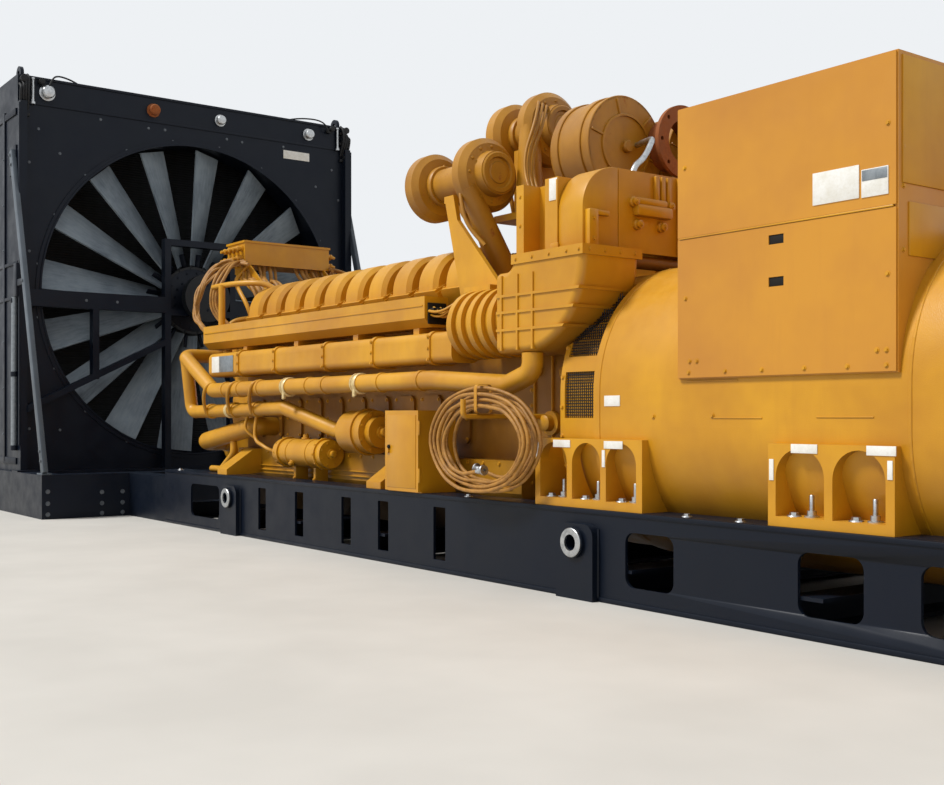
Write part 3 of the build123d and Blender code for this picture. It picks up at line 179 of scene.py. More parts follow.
def noise(tree, spot, grain_mm, detail=3.0, roughness=0.6, low=0.35, high=0.65):
    """A noise of the given grain, spread so that it runs from 0 to 1 between low and high."""
    cloud = add_node(tree, "ShaderNodeTexNoise", {
        "Vector": spot, "Scale": 1000 / grain_mm, "Detail": detail, "Roughness": roughness})
    return add_node(tree, "ShaderNodeMapRange", {
        "Value": cloud.outputs["Fac"], "From Min": low, "From Max": high}).outputs["Result"]


def blended(tree, share, first, second):
    """A colour that goes from the first to the second with the share. A hex code may stand for either."""
    first, second = (linear(tone) if isinstance(tone, str) else tone for tone in (first, second))
    return add_node(tree, "ShaderNodeMix", {0: share, 6: first, 7: second}, data_type="RGBA").outputs[2]


def scaled(tree, value, factor):
    """A share made smaller by a factor."""
    return add_node(tree, "ShaderNodeMath", {0: value, 1: factor}, operation="MULTIPLY").outputs[0]


def close_material(tree, colour_socket, bump_height, bump_mm, strength, **surface):
    """Joins colour and bump to the shader, whose even values are set on its own sockets."""
    sockets = {key.replace("_", " "): value for key, value in surface.items()}
    sockets["Base Color"] = colour_socket
    sockets["Normal"] = add_node(tree, "ShaderNodeBump", {
        "Height": bump_height, "Distance": bump_mm / 1000, "Strength": strength}).outputs["Normal"]
    shader = add_node(tree, "ShaderNodeBsdfPrincipled", sockets)
    add_node(tree, "ShaderNodeOutputMaterial", {"Surface": shader.outputs["BSDF"]})


def sprayed(name, tone, shade, dust, grain_mm, grain_depth, roughness, dust_share, rust=None,
            rust_range=(0.0, 1.0), painted_shade=None, shine=0.5, shade_below=None):
    """Sprayed enamel: broad fades, streaks down the sides, dust above, painted shade on faces that look down
    and below a given height, rust patches.
    """
    material, tree, spot = start_material(name)
    painted = blended(tree, noise(tree, spot, 700, 4.0), tone, shade)
    streaked = add_node(tree, "ShaderNodeMapping", {"Vector": spot, "Scale": (1.0, 1.0, 0.12)})
    streaks = scaled(tree, noise(tree, streaked.outputs["Vector"], 70, 4.0, 0.7, 0.5, 0.8), 0.35)
    painted = blended(tree, streaks, painted, shade)
    facing = add_node(tree, "ShaderNodeSeparateXYZ", {
        0: add_node(tree, "ShaderNodeNewGeometry").outputs["Normal"]})
    upward = add_node(tree, "ShaderNodeMapRange", {
        "Value": facing.outputs["Z"], "From Min": 0.35, "From Max": 1.0, "To Max": dust_share})
    settled = add_node(tree, "ShaderNodeMath", {
        0: upward.outputs["Result"], 1: noise(tree, spot, 45, 5.0, 0.65, 0.3, 0.7)}, operation="MULTIPLY")
    painted = blended(tree, settled.outputs[0], painted, dust)
    # Painted shade: faces that look down turn towards the dark tone of painted shade.
    underside_share = add_node(tree, "ShaderNodeMapRange", {
        "Value": facing.outputs["Z"], "From Min": -0.1, "From Max": -1.0, "To Max": 0.75})
    painted = blended(tree, underside_share.outputs["Result"], painted, painted_shade)
    # Painted shade: below the given height the colour turns to the same dark tone.
    if shade_below is not None:
        height = add_node(tree, "ShaderNodeSeparateXYZ", {0: spot}).outputs["Z"]
        low_shade = add_node(tree, "ShaderNodeMapRange", {
            "Value": height, "From Min": shade_below, "From Max": shade_below - 0.06, "To Max": 0.93})
        painted = blended(tree, low_shade.outputs["Result"], painted, painted_shade)
    gloss = add_node(tree, "ShaderNodeMapRange", {
        "Value": noise(tree, spot, 160, 4.0), "To Min": roughness - 0.06, "To Max": roughness + 0.08})
    rough = gloss.outputs["Result"]
    if rust is not None:
        patches = noise(tree, spot, 130, 6.0, 0.72, *rust_range)
        flakes = blended(tree, noise(tree, spot, 14, 4.0, 0.7), rust, "A8602A")
        painted = blended(tree, patches, painted, flakes)
        rough = add_node(tree, "ShaderNodeMapRange", {
            "Value": patches, "To Min": roughness, "To Max": 0.9}).outputs["Result"]
    grain = noise(tree, spot, grain_mm, 3.0, 0.6, 0.2, 0.8)
    close_material(
        tree, painted, grain, grain_depth, 0.5, Roughness=rough, IOR=1.5, Specular_IOR_Level=shine)
    return material


def speckled(name, tone, shade, grain_mm, fleck, fleck_mm, depth, **surface):
    """A plain finish: two tones in soft clouds, finer flecks of a third, and their relief."""
    material, tree, spot = start_material(name)
    cloud = blended(tree, noise(tree, spot, grain_mm, 4.0, 0.6, 0.4, 0.75), tone, shade)
    flecks = noise(tree, spot, fleck_mm, 4.0, 0.7, 0.45, 0.75)
    cloud = blended(tree, scaled(tree, flecks, 0.4), cloud, fleck)
    close_material(tree, cloud, flecks, depth, 0.4, **surface)
    return material


def fan_blades():
    """Dusty blades with wind-brushed streaks along their length, and a black hub within them."""
    material, tree, spot = start_material("dusty_cast_aluminium")
    across = add_node(tree, "ShaderNodeMapping", {
        "Vector": spot, "Location": (0.0, 0.0, -FAN_HEIGHT), "Scale": (0.0, 1.0, 1.0)}).outputs["Vector"]
    parts = add_node(tree, "ShaderNodeSeparateXYZ", {0: across})
    reach = add_node(tree, "ShaderNodeVectorMath", {0: across}, operation="LENGTH").outputs["Value"]
    turn = add_node(tree, "ShaderNodeMath", {
        0: parts.outputs["Y"], 1: parts.outputs["Z"]}, operation="ARCTAN2").outputs[0]
    along = add_node(tree, "ShaderNodeCombineXYZ", {
        "X": turn, "Y": scaled(tree, reach, 0.09), "Z": 0.0}).outputs[0]
    streaks = noise(tree, along, 16, 5.0, 0.7, 0.35, 0.68)
    dusty = blended(tree, noise(tree, spot, 260, 4.0, 0.6, 0.35, 0.65), "56626E", "7B8790")
    dusty = blended(tree, scaled(tree, streaks, 0.6), dusty, "97A1A8")
    hub = add_node(tree, "ShaderNodeMapRange", {"Value": reach, "From Min": 0.345, "From Max": 0.35})
    dusty = blended(tree, hub.outputs["Result"], "0D1014", dusty)
    rough = add_node(tree, "ShaderNodeMapRange", {
        "Value": streaks, "To Min": 0.42, "To Max": 0.62}).outputs["Result"]
    close_material(tree, dusty, streaks, 0.4, 0.4, Roughness=rough, Metallic=0.25)
    return material


def core_fins():
    """Thin level fins and the tubes through them, drawn wider apart than real so that they show."""
    material, tree, spot = start_material("black_coated_fins")
    fins, tubes = (
        add_node(tree, "ShaderNodeTexWave", {
            "Vector": spot, "Scale": 1000 / pitch_mm / 6.283, "Distortion": 0.0}, bands_direction=way)
        for pitch_mm, way in ((12, "Z"), (60, "Y")))
    lines = blended(tree, fins.outputs["Fac"], "030405", "0E1013")
    lines = blended(tree, scaled(tree, tubes.outputs["Fac"], 0.3), lines, "1A1D20")
    close_material(tree, lines, fins.outputs["Fac"], 4.0, 0.7, Roughness=0.6, Specular_IOR_Level=0.3)
    return material


def make_materials(tones):
    """Makes every finish once and returns them by name."""
    machine, shade = tuple(tones.machine), tuple(tones.machine_shade)
    frame_tone, frame_dust = tuple(tones.frame), tuple(tones.frame_shade)
    # The darkest tone is painted shade on faces that look down.
    rust, dust, painted_shade = tuple(tones.rust), "DDAE52", "6E450E"
    return {
        # Semi-gloss alkyd enamel sprayed on folded sheet: orange peel of about 4 mm, drawn at 8 mm to show
        "sheet": sprayed("golden_enamel_on_sheet", machine, shade, dust, 8, 0.25, 0.34, 0.3, painted_shade=painted_shade),
        # The terminal box's own spray: a tanner, flatter coat of the same enamel on large sheets
        "panel": sprayed(
            "tan_golden_enamel_on_sheet", "D19128", "C2822A", dust, 8, 0.2, 0.4, 0.3, painted_shade=painted_shade),
        # The same enamel on sand-cast iron: a 5 mm sand grain under the paint, duller
        "cast": sprayed("golden_enamel_on_cast_iron", machine, shade, dust, 5, 0.9, 0.42, 0.4, painted_shade=painted_shade),
        # The same enamel, darker on the engine's block, flywheel housing and crankshaft: painted shade, as
        # under the manifolds
        "grimy": sprayed(
            "shade_darkened_golden_enamel", "A87218", "7E5110", dust, 5, 1.0, 0.46, 0.2, painted_shade="40270C"),
        # The same enamel on the oil pan, browned partly by oil mist and partly as painted shade, and black
        # below the rails' top: painted shade between the rails
        "misted": sprayed(
            "oil_misted_and_shaded_golden_enamel", "C48C12", "94630C", dust, 5, 1.0, 0.44, 0.2, painted_shade="1A1209",
            shade_below=RAIL_TOP),
        # The same enamel on hot castings: browned, with a few burnt rusty patches
        "burnt": sprayed(
            "burnt_golden_enamel", "C88E1E", "9A6612", "C08A30", 5, 1.0, 0.44, 0.15, rust, (0.62, 0.74),
            painted_shade="5A350C"),
        # Bare cast iron with heat rust, matt and pitted
        "rusted": sprayed(
            "heat_rusted_cast_iron", "A05C28", "7E4319", dust, 4, 1.2, 0.75, 0.15, rust, (0.45, 0.62),
            painted_shade="3E1F0C"),
        # Satin blue-black enamel on rolled steel, with a thin grey dust film
        "frame": sprayed(
            "satin_black_enamel_on_steel", frame_tone, "0D141F", frame_dust, 9, 0.3, 0.40, 0.7,
            painted_shade="04060A", shine=0.22),
        # Grey on the radiator's brace bars, dull and dusty: a painted sheen, standing for black enamel lit at
        # a grazing angle
        "sheen_grey": sprayed(
            "painted_sheen_grey_on_steel", "59636D", "3C444C", "8A8C8C", 8, 0.3, 0.48, 0.4, painted_shade="24282C"),
        # Zinc-plated steel: bluish bright metal, slightly cloudy
        "zinc": speckled(
            "zinc_plated_steel", "C2C4C5", "989B9D", 25, "DADBDB", 6, 0.1, Metallic=1.0, Roughness=0.38),
        # Yellow-chromated zinc on pipe clamps
        "chromate": speckled(
            "yellow_chromated_zinc", "E6CF98", "C7A867", 20, "F2E5C2", 6, 0.1, Metallic=0.35, Roughness=0.4),
        # The radiator's plated bolts under a coat of dust
        "dusty": speckled(
            "dusty_plated_steel", "666C73", "474D54", 25, "8A8F94", 6, 0.1, Metallic=0.3, Roughness=0.55),
        "blade": fan_blades(),
        "fins": core_fins(),
        # Rubber hose with a woven cover, yellowed by overspray
        "hose": speckled(
            "oversprayed_rubber_hose", "AE7A2C", "7E5220", 60, "D8A450", 9, 0.8, Roughness=0.55, IOR=1.52),
        # Black rubber and cable sheath, matt
        "rubber": speckled(
            "black_rubber", "0C0D0F", "191A1C", 40, "26272A", 6, 0.4, Roughness=0.6, IOR=1.52,
            Specular_IOR_Level=0.35),
        # Blank white vinyl plate with faint dirt
        "plate": speckled(
            "white_vinyl_plate", "F2F1EC", "E2DED2", 60, "D5CFBE", 12, 0.1, Roughness=0.4, IOR=1.45),
        # Grey anodised aluminium: plates and conduit
        "rating": speckled(
            "grey_anodised_plate", "8D9499", "6E757B", 30, "A9AFB3", 8, 0.1, Metallic=0.4, Roughness=0.42),
        # Near black: painted shade inside recesses and openings, and the door's black latch
        "dark": speckled(
            "near_black_and_painted_shade", "0B0907", "17120C", 50, "221A10", 6, 0.4, Roughness=0.7, IOR=1.5,
            Specular_IOR_Level=0.3),
    }


MATERIALS = {}
FINISH_OF = {
    "frame": ("skid_", "radiator_", "shroud_", "fan_", "lifting_"),
    "panel": ("terminal_",),
    "sheet": ("charge_air_cooler", "control_box", "junction_box", "wire_ducts"),
    "grimy": ("engine_block", "flywheel_housing", "crankshaft"),
    "misted": ("oil_pan",),
    "burnt": ("turbocharger_", "exhaust_collectors"),
    "rusted": ("exhaust_outlet", "exhaust_manifolds"),
    "fins": ("radiator_core",),
    "blade": ("fan_rotor",),
    "hose": ("hose_coil",),
}


def finish_for(node):
    """Name of the finish of a CAD node, by the longest name start that fits."""
    fits = [(len(start), finish) for finish, starts in FINISH_OF.items() for start in starts
            if node.startswith(start)]
    return max(fits)[1] if fits else "cast"


# Shapes: small meshes that are copied into the pieces


def keep_shape(name, bm):
    """Turns a finished bmesh into a mesh and frees it."""
    mesh = bpy.data.meshes.new(name)
    bm.to_mesh(mesh)
    bm.free()
    return mesh


def turned(profile, steps=24, closed=False):
    """A turned shape from (radius, height) pairs, spun about Z."""
    bm = bmesh.new()
    verts = [bm.verts.new((radius, 0.0, height)) for radius, height in profile]
    pairs = list(zip(verts, verts[1:])) + ([(verts[-1], verts[0])] if closed else [])
    edges = [bm.edges.new(pair) for pair in pairs]
    bmesh.ops.spin(
        bm, geom=verts + edges, cent=(0, 0, 0), axis=UP, angle=2 * pi, steps=steps, use_merge=True)
    bmesh.ops.remove_doubles(bm, verts=bm.verts[:], dist=1e-5)
    bmesh.ops.recalc_face_normals(bm, faces=bm.faces[:])
    return keep_shape("turned", bm)


def block(length, width, height, edge=0.003, segments=2):
    """A block with rounded edges, centred on its own origin."""
    bm = bmesh.new()
    bmesh.ops.create_cube(bm, size=1.0)
    bmesh.ops.scale(bm, vec=(length, width, height), verts=bm.verts[:])
    bmesh.ops.bevel(
        bm, geom=bm.edges[:], offset=edge, affect="EDGES", segments=segments, profile=0.5, material=-1)
    return keep_shape("block", bm)


def plate(length, height):
    """A thin upright plate that faces sideways."""
    return block(length, 0.004, height, 0.0012)


def bolt(radius, height=0.6, sides=6):
    """A hexagon head on its washer, standing on its own origin."""
    bm = bmesh.new()
    washer = bmesh.ops.create_cone(
        bm, cap_ends=True, segments=12, radius1=1.5 * radius, radius2=1.4 * radius, depth=0.25 * radius)
    bmesh.ops.translate(bm, vec=(0, 0, 0.125 * radius), verts=washer["verts"])
    head = bmesh.ops.create_cone(
        bm, cap_ends=True, segments=sides, radius1=radius, radius2=0.93 * radius, depth=height * radius)
    bmesh.ops.translate(bm, vec=(0, 0, (0.25 + height / 2) * radius), verts=head["verts"])
    return keep_shape("bolt", bm)


def band(inner, outer, length, edge=0.002, steps=32):
    """A closed ring with rounded edges, centred on its own origin."""
    half = length / 2
    return turned([
        (inner, -half), (outer - edge, -half), (outer, edge - half), (outer, half - edge),
        (outer - edge, half), (inner, half)], steps, closed=True)


# Placing the shapes


def aim(axis):
    """Turn that brings Z onto an axis."""
    return Vector(axis).to_track_quat("Z", "Y").to_matrix().to_4x4()


def at(point, axis=UP, factor=1.0):
    """Place matrix: a shape's own Z turned to the axis, its origin at the point."""
    return Matrix.Translation(point) @ aim(axis) @ Matrix.Scale(factor, 4)


def put(target, shape, place):
    """Adds a copy of a shape to a mesh in the making."""
    count = len(target.verts)
    target.from_mesh(shape)
    target.verts.ensure_lookup_table()
    bmesh.ops.transform(target, matrix=place, verts=target.verts[count:])


def put_pairs(target, shape, points, axis=UP, factor=1.0):
    """Adds copies of a shape at the far side's points and at their mirror images."""
    for side in SIDES:
        for x, y, z in points:
            put(target, shape, at((x, side * y, z), (axis[0], side * axis[1], axis[2]), factor))


def ring_places(centre, radius, count, phase=0.0):
    """Points on a circle about X, each with its turn from the top; off the middle, on both sides."""
    places = []
    for side in SIDES if centre[1] else (1,):
        middle = Vector((centre[0], side * centre[1], centre[2]))
        for number in range(count):
            turn = Matrix.Rotation(2 * pi * (number / count + phase), 4, "X")
            places.append((middle + turn @ Vector((0, 0, radius)), turn))
    return places


def put_ring(target, shape, centre, radius, count, axis=ALONG, phase=0.0, factor=1.0):
    """Adds copies of a shape on such a circle, all along one axis."""
    for spot, _ in ring_places(centre, radius, count, phase):
        put(target, shape, at(spot, axis, factor))


def close_piece(name, bm, finish, body="set", angle=35):
    """Makes the finished object, in place in its mesh, riding on its body."""
    bmesh.ops.recalc_face_normals(bm, faces=bm.faces[:])
    mesh = keep_shape(name, bm)
    mesh.materials.append(MATERIALS[finish])
    mesh.shade_smooth()
    mesh.set_sharp_from_angle(angle=radians(angle))
    piece = bpy.data.objects.new(name, mesh)
    bpy.context.scene.collection.objects.link(piece)
    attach(piece, body)
    return piece


def nurbs_line(name, depth, runs, sides, fineness):
    """A curve object of smooth tubes, each given as its share of the bevel's depth and its points."""
    line = bpy.data.curves.new(name, "CURVE")
    line.dimensions = "3D"
    line.bevel_depth = depth
    line.bevel_resolution = sides
    line.resolution_u = fineness
    line.use_fill_caps = True
    for share, points in runs:
        spline = line.splines.new("NURBS")
        spline.points.add(len(points) - 1)
        for knot, point in zip(spline.points, points):
            knot.co = (*point, 1.0)
            knot.radius = share
        spline.order_u = 3
        spline.use_endpoint_u = True
    tubes = bpy.data.objects.new(name, line)
    bpy.context.scene.collection.objects.link(tubes)
    return tubes


def baked(*things):
    """The first object's finished mesh, with its bevel or modifiers. The objects themselves are removed."""
    bpy.context.view_layer.update()
    finished = things[0].evaluated_get(bpy.context.evaluated_depsgraph_get())
    mesh = bpy.data.meshes.new_from_object(finished)
    for thing in things:
        bpy.data.objects.remove(thing)
    return mesh


def bent_tubes(name, runs, finish, sides=2, fineness=5, mirrored=True):
    """One mesh of smooth bent tubes, each given as its radius and its points on the far side."""
    placed = [
        (radius, [(x, side * y, z) for x, y, z in points])
        for side in (SIDES if mirrored else (1,)) for radius, points in runs]
    bm = bmesh.new()
    bm.from_mesh(baked(nurbs_line(name + "_line", 1.0, placed, sides, fineness)))
    return close_piece(name, bm, finish, angle=50)


def bank_point(along, across):
    """Y and Z of a point of the leaning far cylinder bank, from its distances along and across the bank."""
    return (
        sin(BANK_LEAN) * along + cos(BANK_LEAN) * across,
        CRANK_HEIGHT + cos(BANK_LEAN) * along - sin(BANK_LEAN) * across)


def drum_half(height):
    """Half width of the generator's drum at a height."""
    middle_up, middle_down = DRUM_TOP - DRUM_CORNER, DRUM_BOTTOM + DRUM_CORNER
    over = max(height - middle_up, middle_down - height, 0.0)
    return DRUM_HALF - DRUM_CORNER + sqrt(max(DRUM_CORNER ** 2 - over ** 2, 0.0))


# Camera, floor and light


# The camera's focal length and the photo's width, in pixels
FOCAL_PIXELS, PHOTO_WIDTH = 1189.0, 944.0


def build_stage(settings):
    scene = bpy.context.scene
    lens = bpy.data.cameras.new("camera")
    lens.lens = FOCAL_PIXELS / PHOTO_WIDTH * lens.sensor_width
    lens.shift_y = 22.5 / PHOTO_WIDTH
    lens.clip_end = 200.0
    camera = bpy.data.objects.new("camera", lens)
    camera.location = (6.797, -4.8, 0.874)
    camera.rotation_euler = (radians(90), 0.0, radians(53.3))
    scene.collection.objects.link(camera)
    scene.camera = camera

    ground = bmesh.new()
    bmesh.ops.create_grid(ground, x_segments=8, y_segments=8, size=60.0)
    mesh = keep_shape("floor", ground)
    floor = bpy.data.objects.new("floor", mesh)
    scene.collection.objects.link(floor)
    # Pale matt studio floor with soft clouds, so that it isn't one flat tone
    material, tree, spot = start_material("pale_matt_floor")
    pale = blended(tree, noise(tree, spot, 900, 3.0), "DAD7D0", "D2CFC8")
    close_material(tree, pale, noise(tree, spot, 30, 3.0), 0.5, 0.1, Roughness=0.8, IOR=1.4)
    mesh.materials.append(material)

    world = bpy.data.worlds.new("studio")
    world.use_nodes = True
    scene.world = world
    tree = world.node_tree
    tree.nodes.clear()
    even = add_node(tree, "ShaderNodeBackground", {"Color": linear("F4F6FA"), "Strength": settings.sky})
    shown = add_node(tree, "ShaderNodeBackground", {"Color": linear("EEF1F4"), "Strength": 1.0})
    path = add_node(tree, "ShaderNodeLightPath")
    seen = add_node(tree, "ShaderNodeMath", {
        0: path.outputs["Is Camera Ray"], 1: path.outputs["Is Glossy Ray"]}, operation="MAXIMUM")
    seen = add_node(tree, "ShaderNodeMath", {
        0: seen.outputs[0], 1: path.outputs["Is Transmission Ray"]}, operation="MAXIMUM")
    mixed = add_node(tree, "ShaderNodeMixShader", {
        0: seen.outputs[0], 1: even.outputs["Background"], 2: shown.outputs["Background"]})
    add_node(tree, "ShaderNodeOutputWorld", {"Surface": mixed.outputs["Shader"]})

    key = bpy.data.lights.new("key", "SUN")
    key.energy = settings.key
    key.angle = radians(12)
    key.color = (1.0, 0.985, 0.96)
    lamp = bpy.data.objects.new("key", key)
    lamp.rotation_euler = Vector((-0.30, -0.78, 1.0)).to_track_quat("Z", "Y").to_euler()
    scene.collection.objects.link(lamp)
    scene.view_settings.view_transform = "Standard"


# Coiled hose

# Reach of the innermost and of the outermost turn, every 30 degrees, from the top over the left side
HOSE_REACH = (
    (0.150, 0.277), (0.168, 0.302), (0.212, 0.386), (0.262, 0.465), (0.252, 0.386), (0.190, 0.303),
    (0.168, 0.277), (0.212, 0.303), (0.305, 0.386), (0.385, 0.466), (0.275, 0.386), (0.172, 0.302),
)
HOSE_MIDDLE = Vector((1.8975, 0.0, 0.741))
HOSE_END_HEIGHT = 0.585
TURN_POINTS = 12
HOSE_LAYERS = (-1.050, -1.124)
LAYER_TURNS = 4


def hose_route():
    """Control points of the hose: a growing layer of turns on the hook, then a shrinking one before it."""
    back, front = HOSE_LAYERS
    points = [Vector((1.855, back, HOSE_END_HEIGHT)), Vector((1.915, back, HOSE_END_HEIGHT - 0.012))]
    total = 2 * LAYER_TURNS * TURN_POINTS
    for step in range(7, total - 6):
        # The turns lie loose: each point strays a little from an even coil
        grown = min(step, total - step) / TURN_POINTS
        inner, outer = HOSE_REACH[step % TURN_POINTS]
        pitch = (outer - inner) / LAYER_TURNS
        radius = inner + pitch * (grown + 0.16 * sin(step * 2.4) * min(1.0, LAYER_TURNS - grown + 0.2))
        angle = 2 * pi * step / TURN_POINTS
        share = min(1.0, max(0.0, (step - total / 2 + 2) / 4))
        depth = back + share * (front - back) + 0.010 * sin(step * 0.9)
        points.append(Vector((
            HOSE_MIDDLE.x - radius * sin(angle), depth, HOSE_MIDDLE.z + radius * cos(angle))))
    points.append(Vector((1.860, front, HOSE_END_HEIGHT - 0.008)))
    points.append(Vector((1.915, front, HOSE_END_HEIGHT)))
    return points


def strap_loop(half_y, half_z, width, thickness, corner):
    """A flat strap bent round a bundle: a closed loop about X with rounded corners."""
    bm = bmesh.new()
    path = []
    for quarter in range(4):
        for step in range(5):
            angle = (quarter + step / 4) * pi / 2
            out = Vector((0, cos(angle), sin(angle)))
            middle = Vector((
                0, (half_y - corner) * (1 if quarter in (0, 3) else -1),
                (half_z - corner) * (1 if quarter in (0, 1) else -1)))
            path.append((middle + corner * out, thickness * out))
    section = ((-width / 2, 0), (-width / 2, 1), (width / 2, 1), (width / 2, 0))
    rings = [[bm.verts.new(inner + grown * out + Vector((x, 0, 0))) for inner, out in path]
             for x, grown in section]
    for first, second in zip(rings, rings[1:] + rings[:1]):
        for number, vert in enumerate(first):
            bm.faces.new((vert, first[number - 1], second[number - 1], second[number]))
    return keep_shape("strap", bm)


def build_hose(settings):
    points = hose_route()
    radius = settings.diameter / 2
    hose = nurbs_line("coiled_hose", radius, [(1.0, points)], 3, 4)
    hose.data.materials.append(MATERIALS["hose"])
    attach(hose, "set")
    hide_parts("hose_coil")
    coupling = turned([
        (0.0, -0.012), (radius + 0.001, -0.012), (radius + 0.003, -0.008), (radius + 0.003, 0.012),
        (radius + 0.008, 0.014), (radius + 0.008, 0.030), (radius + 0.005, 0.032), (radius + 0.005, 0.044),
        (radius + 0.016, 0.046), (radius + 0.018, 0.050), (radius + 0.016, 0.056), (radius - 0.002, 0.056),
        (radius - 0.002, 0.036), (0.0, 0.036)], 24)
    bm = bmesh.new()
    put(bm, coupling, at(points[0], points[0] - points[1]))
    put(bm, coupling, at(points[-1], points[-1] - points[-2]))
    couplings = close_piece("hose_couplings", bm, "zinc")
    bm = bmesh.new()
    put(bm, strap_loop(0.050, 0.0735, 0.024, 0.0015, 0.02), at((1.912, -1.087, 0.9565)))
    close_piece("hose_tie", bm, "cast")


# Radiator


def build_radiator_face(small, middle):
    """Flanges and rim, and the bolts of the panels, sides, braces and base."""
    face = RADIATOR_FRONT
    bm = bmesh.new()
    for z in (3.685, 3.915):
        put(bm, block(0.010, 3.38, 0.022), at((face + 0.005, 0, z)))
    put_pairs(bm, block(0.060, 0.014, 3.20), [(face - 0.40, 1.707, 2.05)])
    put_pairs(bm, block(0.780, 0.012, 0.060), [(face - 0.42, RADIATOR_SIDE, z) for z in (0.46, 3.60)])
    put_pairs(bm, block(0.030, 0.014, 3.06, 0.004), [(face + 0.068, RADIATOR_SIDE, 2.13)])
    rim = band(RING_RADIUS - 0.004, RING_RADIUS + 0.014, 0.024, 0.004, 96)
    put(bm, rim, at((face + 0.01, 0, FAN_HEIGHT), ALONG))
    close_piece("radiator_flanges", bm, "frame")

    bm = bmesh.new()
    panel_bolts = (
        (1.518, 3.461), (1.326, 3.263), (0.487, 3.615), (0.322, 3.622), (1.60, 0.75), (1.60, 1.55),
        (1.60, 2.35), (1.60, 3.15), (1.326, 0.737), (0.95, 3.63))
    put_pairs(bm, small, [(face, y, z) for y, z in panel_bolts], ALONG)
    for spot, _ in ring_places((face, 0, FAN_HEIGHT), RING_RADIUS + 0.045, 20, 1 / 40):
        if spot.z > CORE_BOTTOM:
            put(bm, small, at(spot, ALONG, 0.8))
    put_pairs(bm, small, [(face - 0.4, 1.714, 0.7 + 0.42 * number) for number in range(7)], OUT)
    brace_bolts = ((-4.245, 3.21), (-4.215, 3.12), (-3.865, 2.05), (-3.345, 0.49), (-3.372, 0.57))
    put_pairs(bm, middle, [(x, 1.744, z) for x, z in brace_bolts], OUT)
    put_pairs(bm, middle, [(-3.30, 1.70, z) for z in (0.232, 0.132, 0.04)], ALONG)
    put_pairs(bm, middle, [(-3.30, y, z) for y in (1.241, 1.06) for z in (0.212, 0.117, 0.031)], ALONG)
    put_pairs(bm, small, [(face + 0.11, y, 1.925) for y in (0.83, 1.12)], ALONG)
    close_piece("radiator_bolts", bm, "dusty")


def build_header_fittings():
    """Caps and a blank plate along the header tank, with drain tubes, valves and hoses at its ends."""
    face = RADIATOR_FRONT
    bm = bmesh.new()
    cap = turned([
        (0.0, 0.0), (0.072, 0.0), (0.072, 0.012), (0.050, 0.016), (0.050, 0.040), (0.058, 0.044),
        (0.058, 0.062), (0.048, 0.074), (0.020, 0.080), (0.0, 0.081)], 28)
    for y, factor in ((-1.443, 1.0), (0.249, 0.8), (1.237, 0.85)):
        put(bm, cap, at((face, y, 3.795), ALONG, factor))
    drain = turned([
        (0.0, -0.12), (0.014, -0.12), (0.022, -0.118), (0.022, -0.098), (0.013, -0.094), (0.013, 0.10),
        (0.018, 0.104), (0.018, 0.118), (0.0, 0.12)], 18)
    put_pairs(bm, drain, [(face + 0.026, 1.575, 3.79)])
    close_piece("header_fittings", bm, "zinc")
    bm = bmesh.new()
    put(bm, cap, at((face, -0.44, 3.79), ALONG, 0.9))
    close_piece("header_rusted_fitting", bm, "rusted")

    # Dark hoses and valves crowded at the two top corners
    runs = [(0.008, [
        (-4.10, 1.443, 3.84), (-4.09, 1.423, 3.90), (-4.15, 1.363, 3.965), (-4.26, 1.223, 3.985),
        (-4.34, 1.083, 3.965), (-4.38, 1.023, 3.934)])]
    for number in range(4):
        out, drop = 1.62 + 0.022 * number, 0.03 * number
        runs.append((0.012, [
            (-4.15, out, 3.93 - drop), (-4.09, out, 3.90 - drop), (-4.085, out + 0.01, 3.78),
            (-4.12, out, 3.70 - 0.02 * number), (-4.15, out, 3.62)]))
    bent_tubes("header_hoses", runs, "rubber")
    bm = bmesh.new()
    valve = turned([
        (0.0, 0.0), (0.030, 0.0), (0.030, 0.020), (0.022, 0.024), (0.022, 0.050), (0.034, 0.052),
        (0.034, 0.075), (0.016, 0.080), (0.0, 0.080)], 14)
    bracket = block(0.030, 0.055, 0.030, 0.006)
    for y, z, factor in ((1.66, 3.885, 1.0), (1.655, 3.775, 0.9), (1.50, 3.885, 0.8), (1.66, 3.60, 0.8)):
        put_pairs(bm, valve, [(face, y, z)], ALONG, factor)
        put_pairs(bm, bracket, [(face + 0.02, y - 0.03, z - 0.03)])
    close_piece("header_valves", bm, "rubber")

    bm = bmesh.new()
    put(bm, block(0.004, 0.300, 0.085, 0.0012), at((face + 0.002, 1.10, 3.557)))
    close_piece("radiator_blank_plate", bm, "plate")


def build_braces():
    """Braces up the outer sides: a bar between a wall plate and a foot plate, held to the wall halfway."""
    bm = bmesh.new()
    head, foot = Vector((-4.252, 1.723, 3.250)), Vector((-3.314, 1.723, 0.386))
    put_pairs(bm, block(0.042, 0.078, (head - foot).length, 0.006), [(head + foot) / 2], head - foot)
    put_pairs(bm, block(0.150, 0.084, 0.014, 0.004), [(-3.380, 1.704, 0.377)])
    # The bars are grey: painted sheen on black enamel.
    bars = close_piece("radiator_brace_bars", bm, "sheen_grey")
    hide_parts("radiator_braces")
    bm = bmesh.new()
    put_pairs(bm, block(0.200, 0.012, 0.260, 0.004), [(-4.290, RADIATOR_SIDE, 3.170)])
    put_pairs(bm, block(0.300, 0.028, 0.060, 0.005), [(-4.010, 1.716, 2.050)])
    put_pairs(bm, block(0.090, 0.040, 0.300, 0.006), [(-4.130, 1.716, 2.080)])
    put_pairs(bm, block(0.860, 0.014, 0.030), [(-4.560, RADIATOR_SIDE, z) for z in (1.93, 2.24)])
    close_piece("brace_links", bm, "frame")


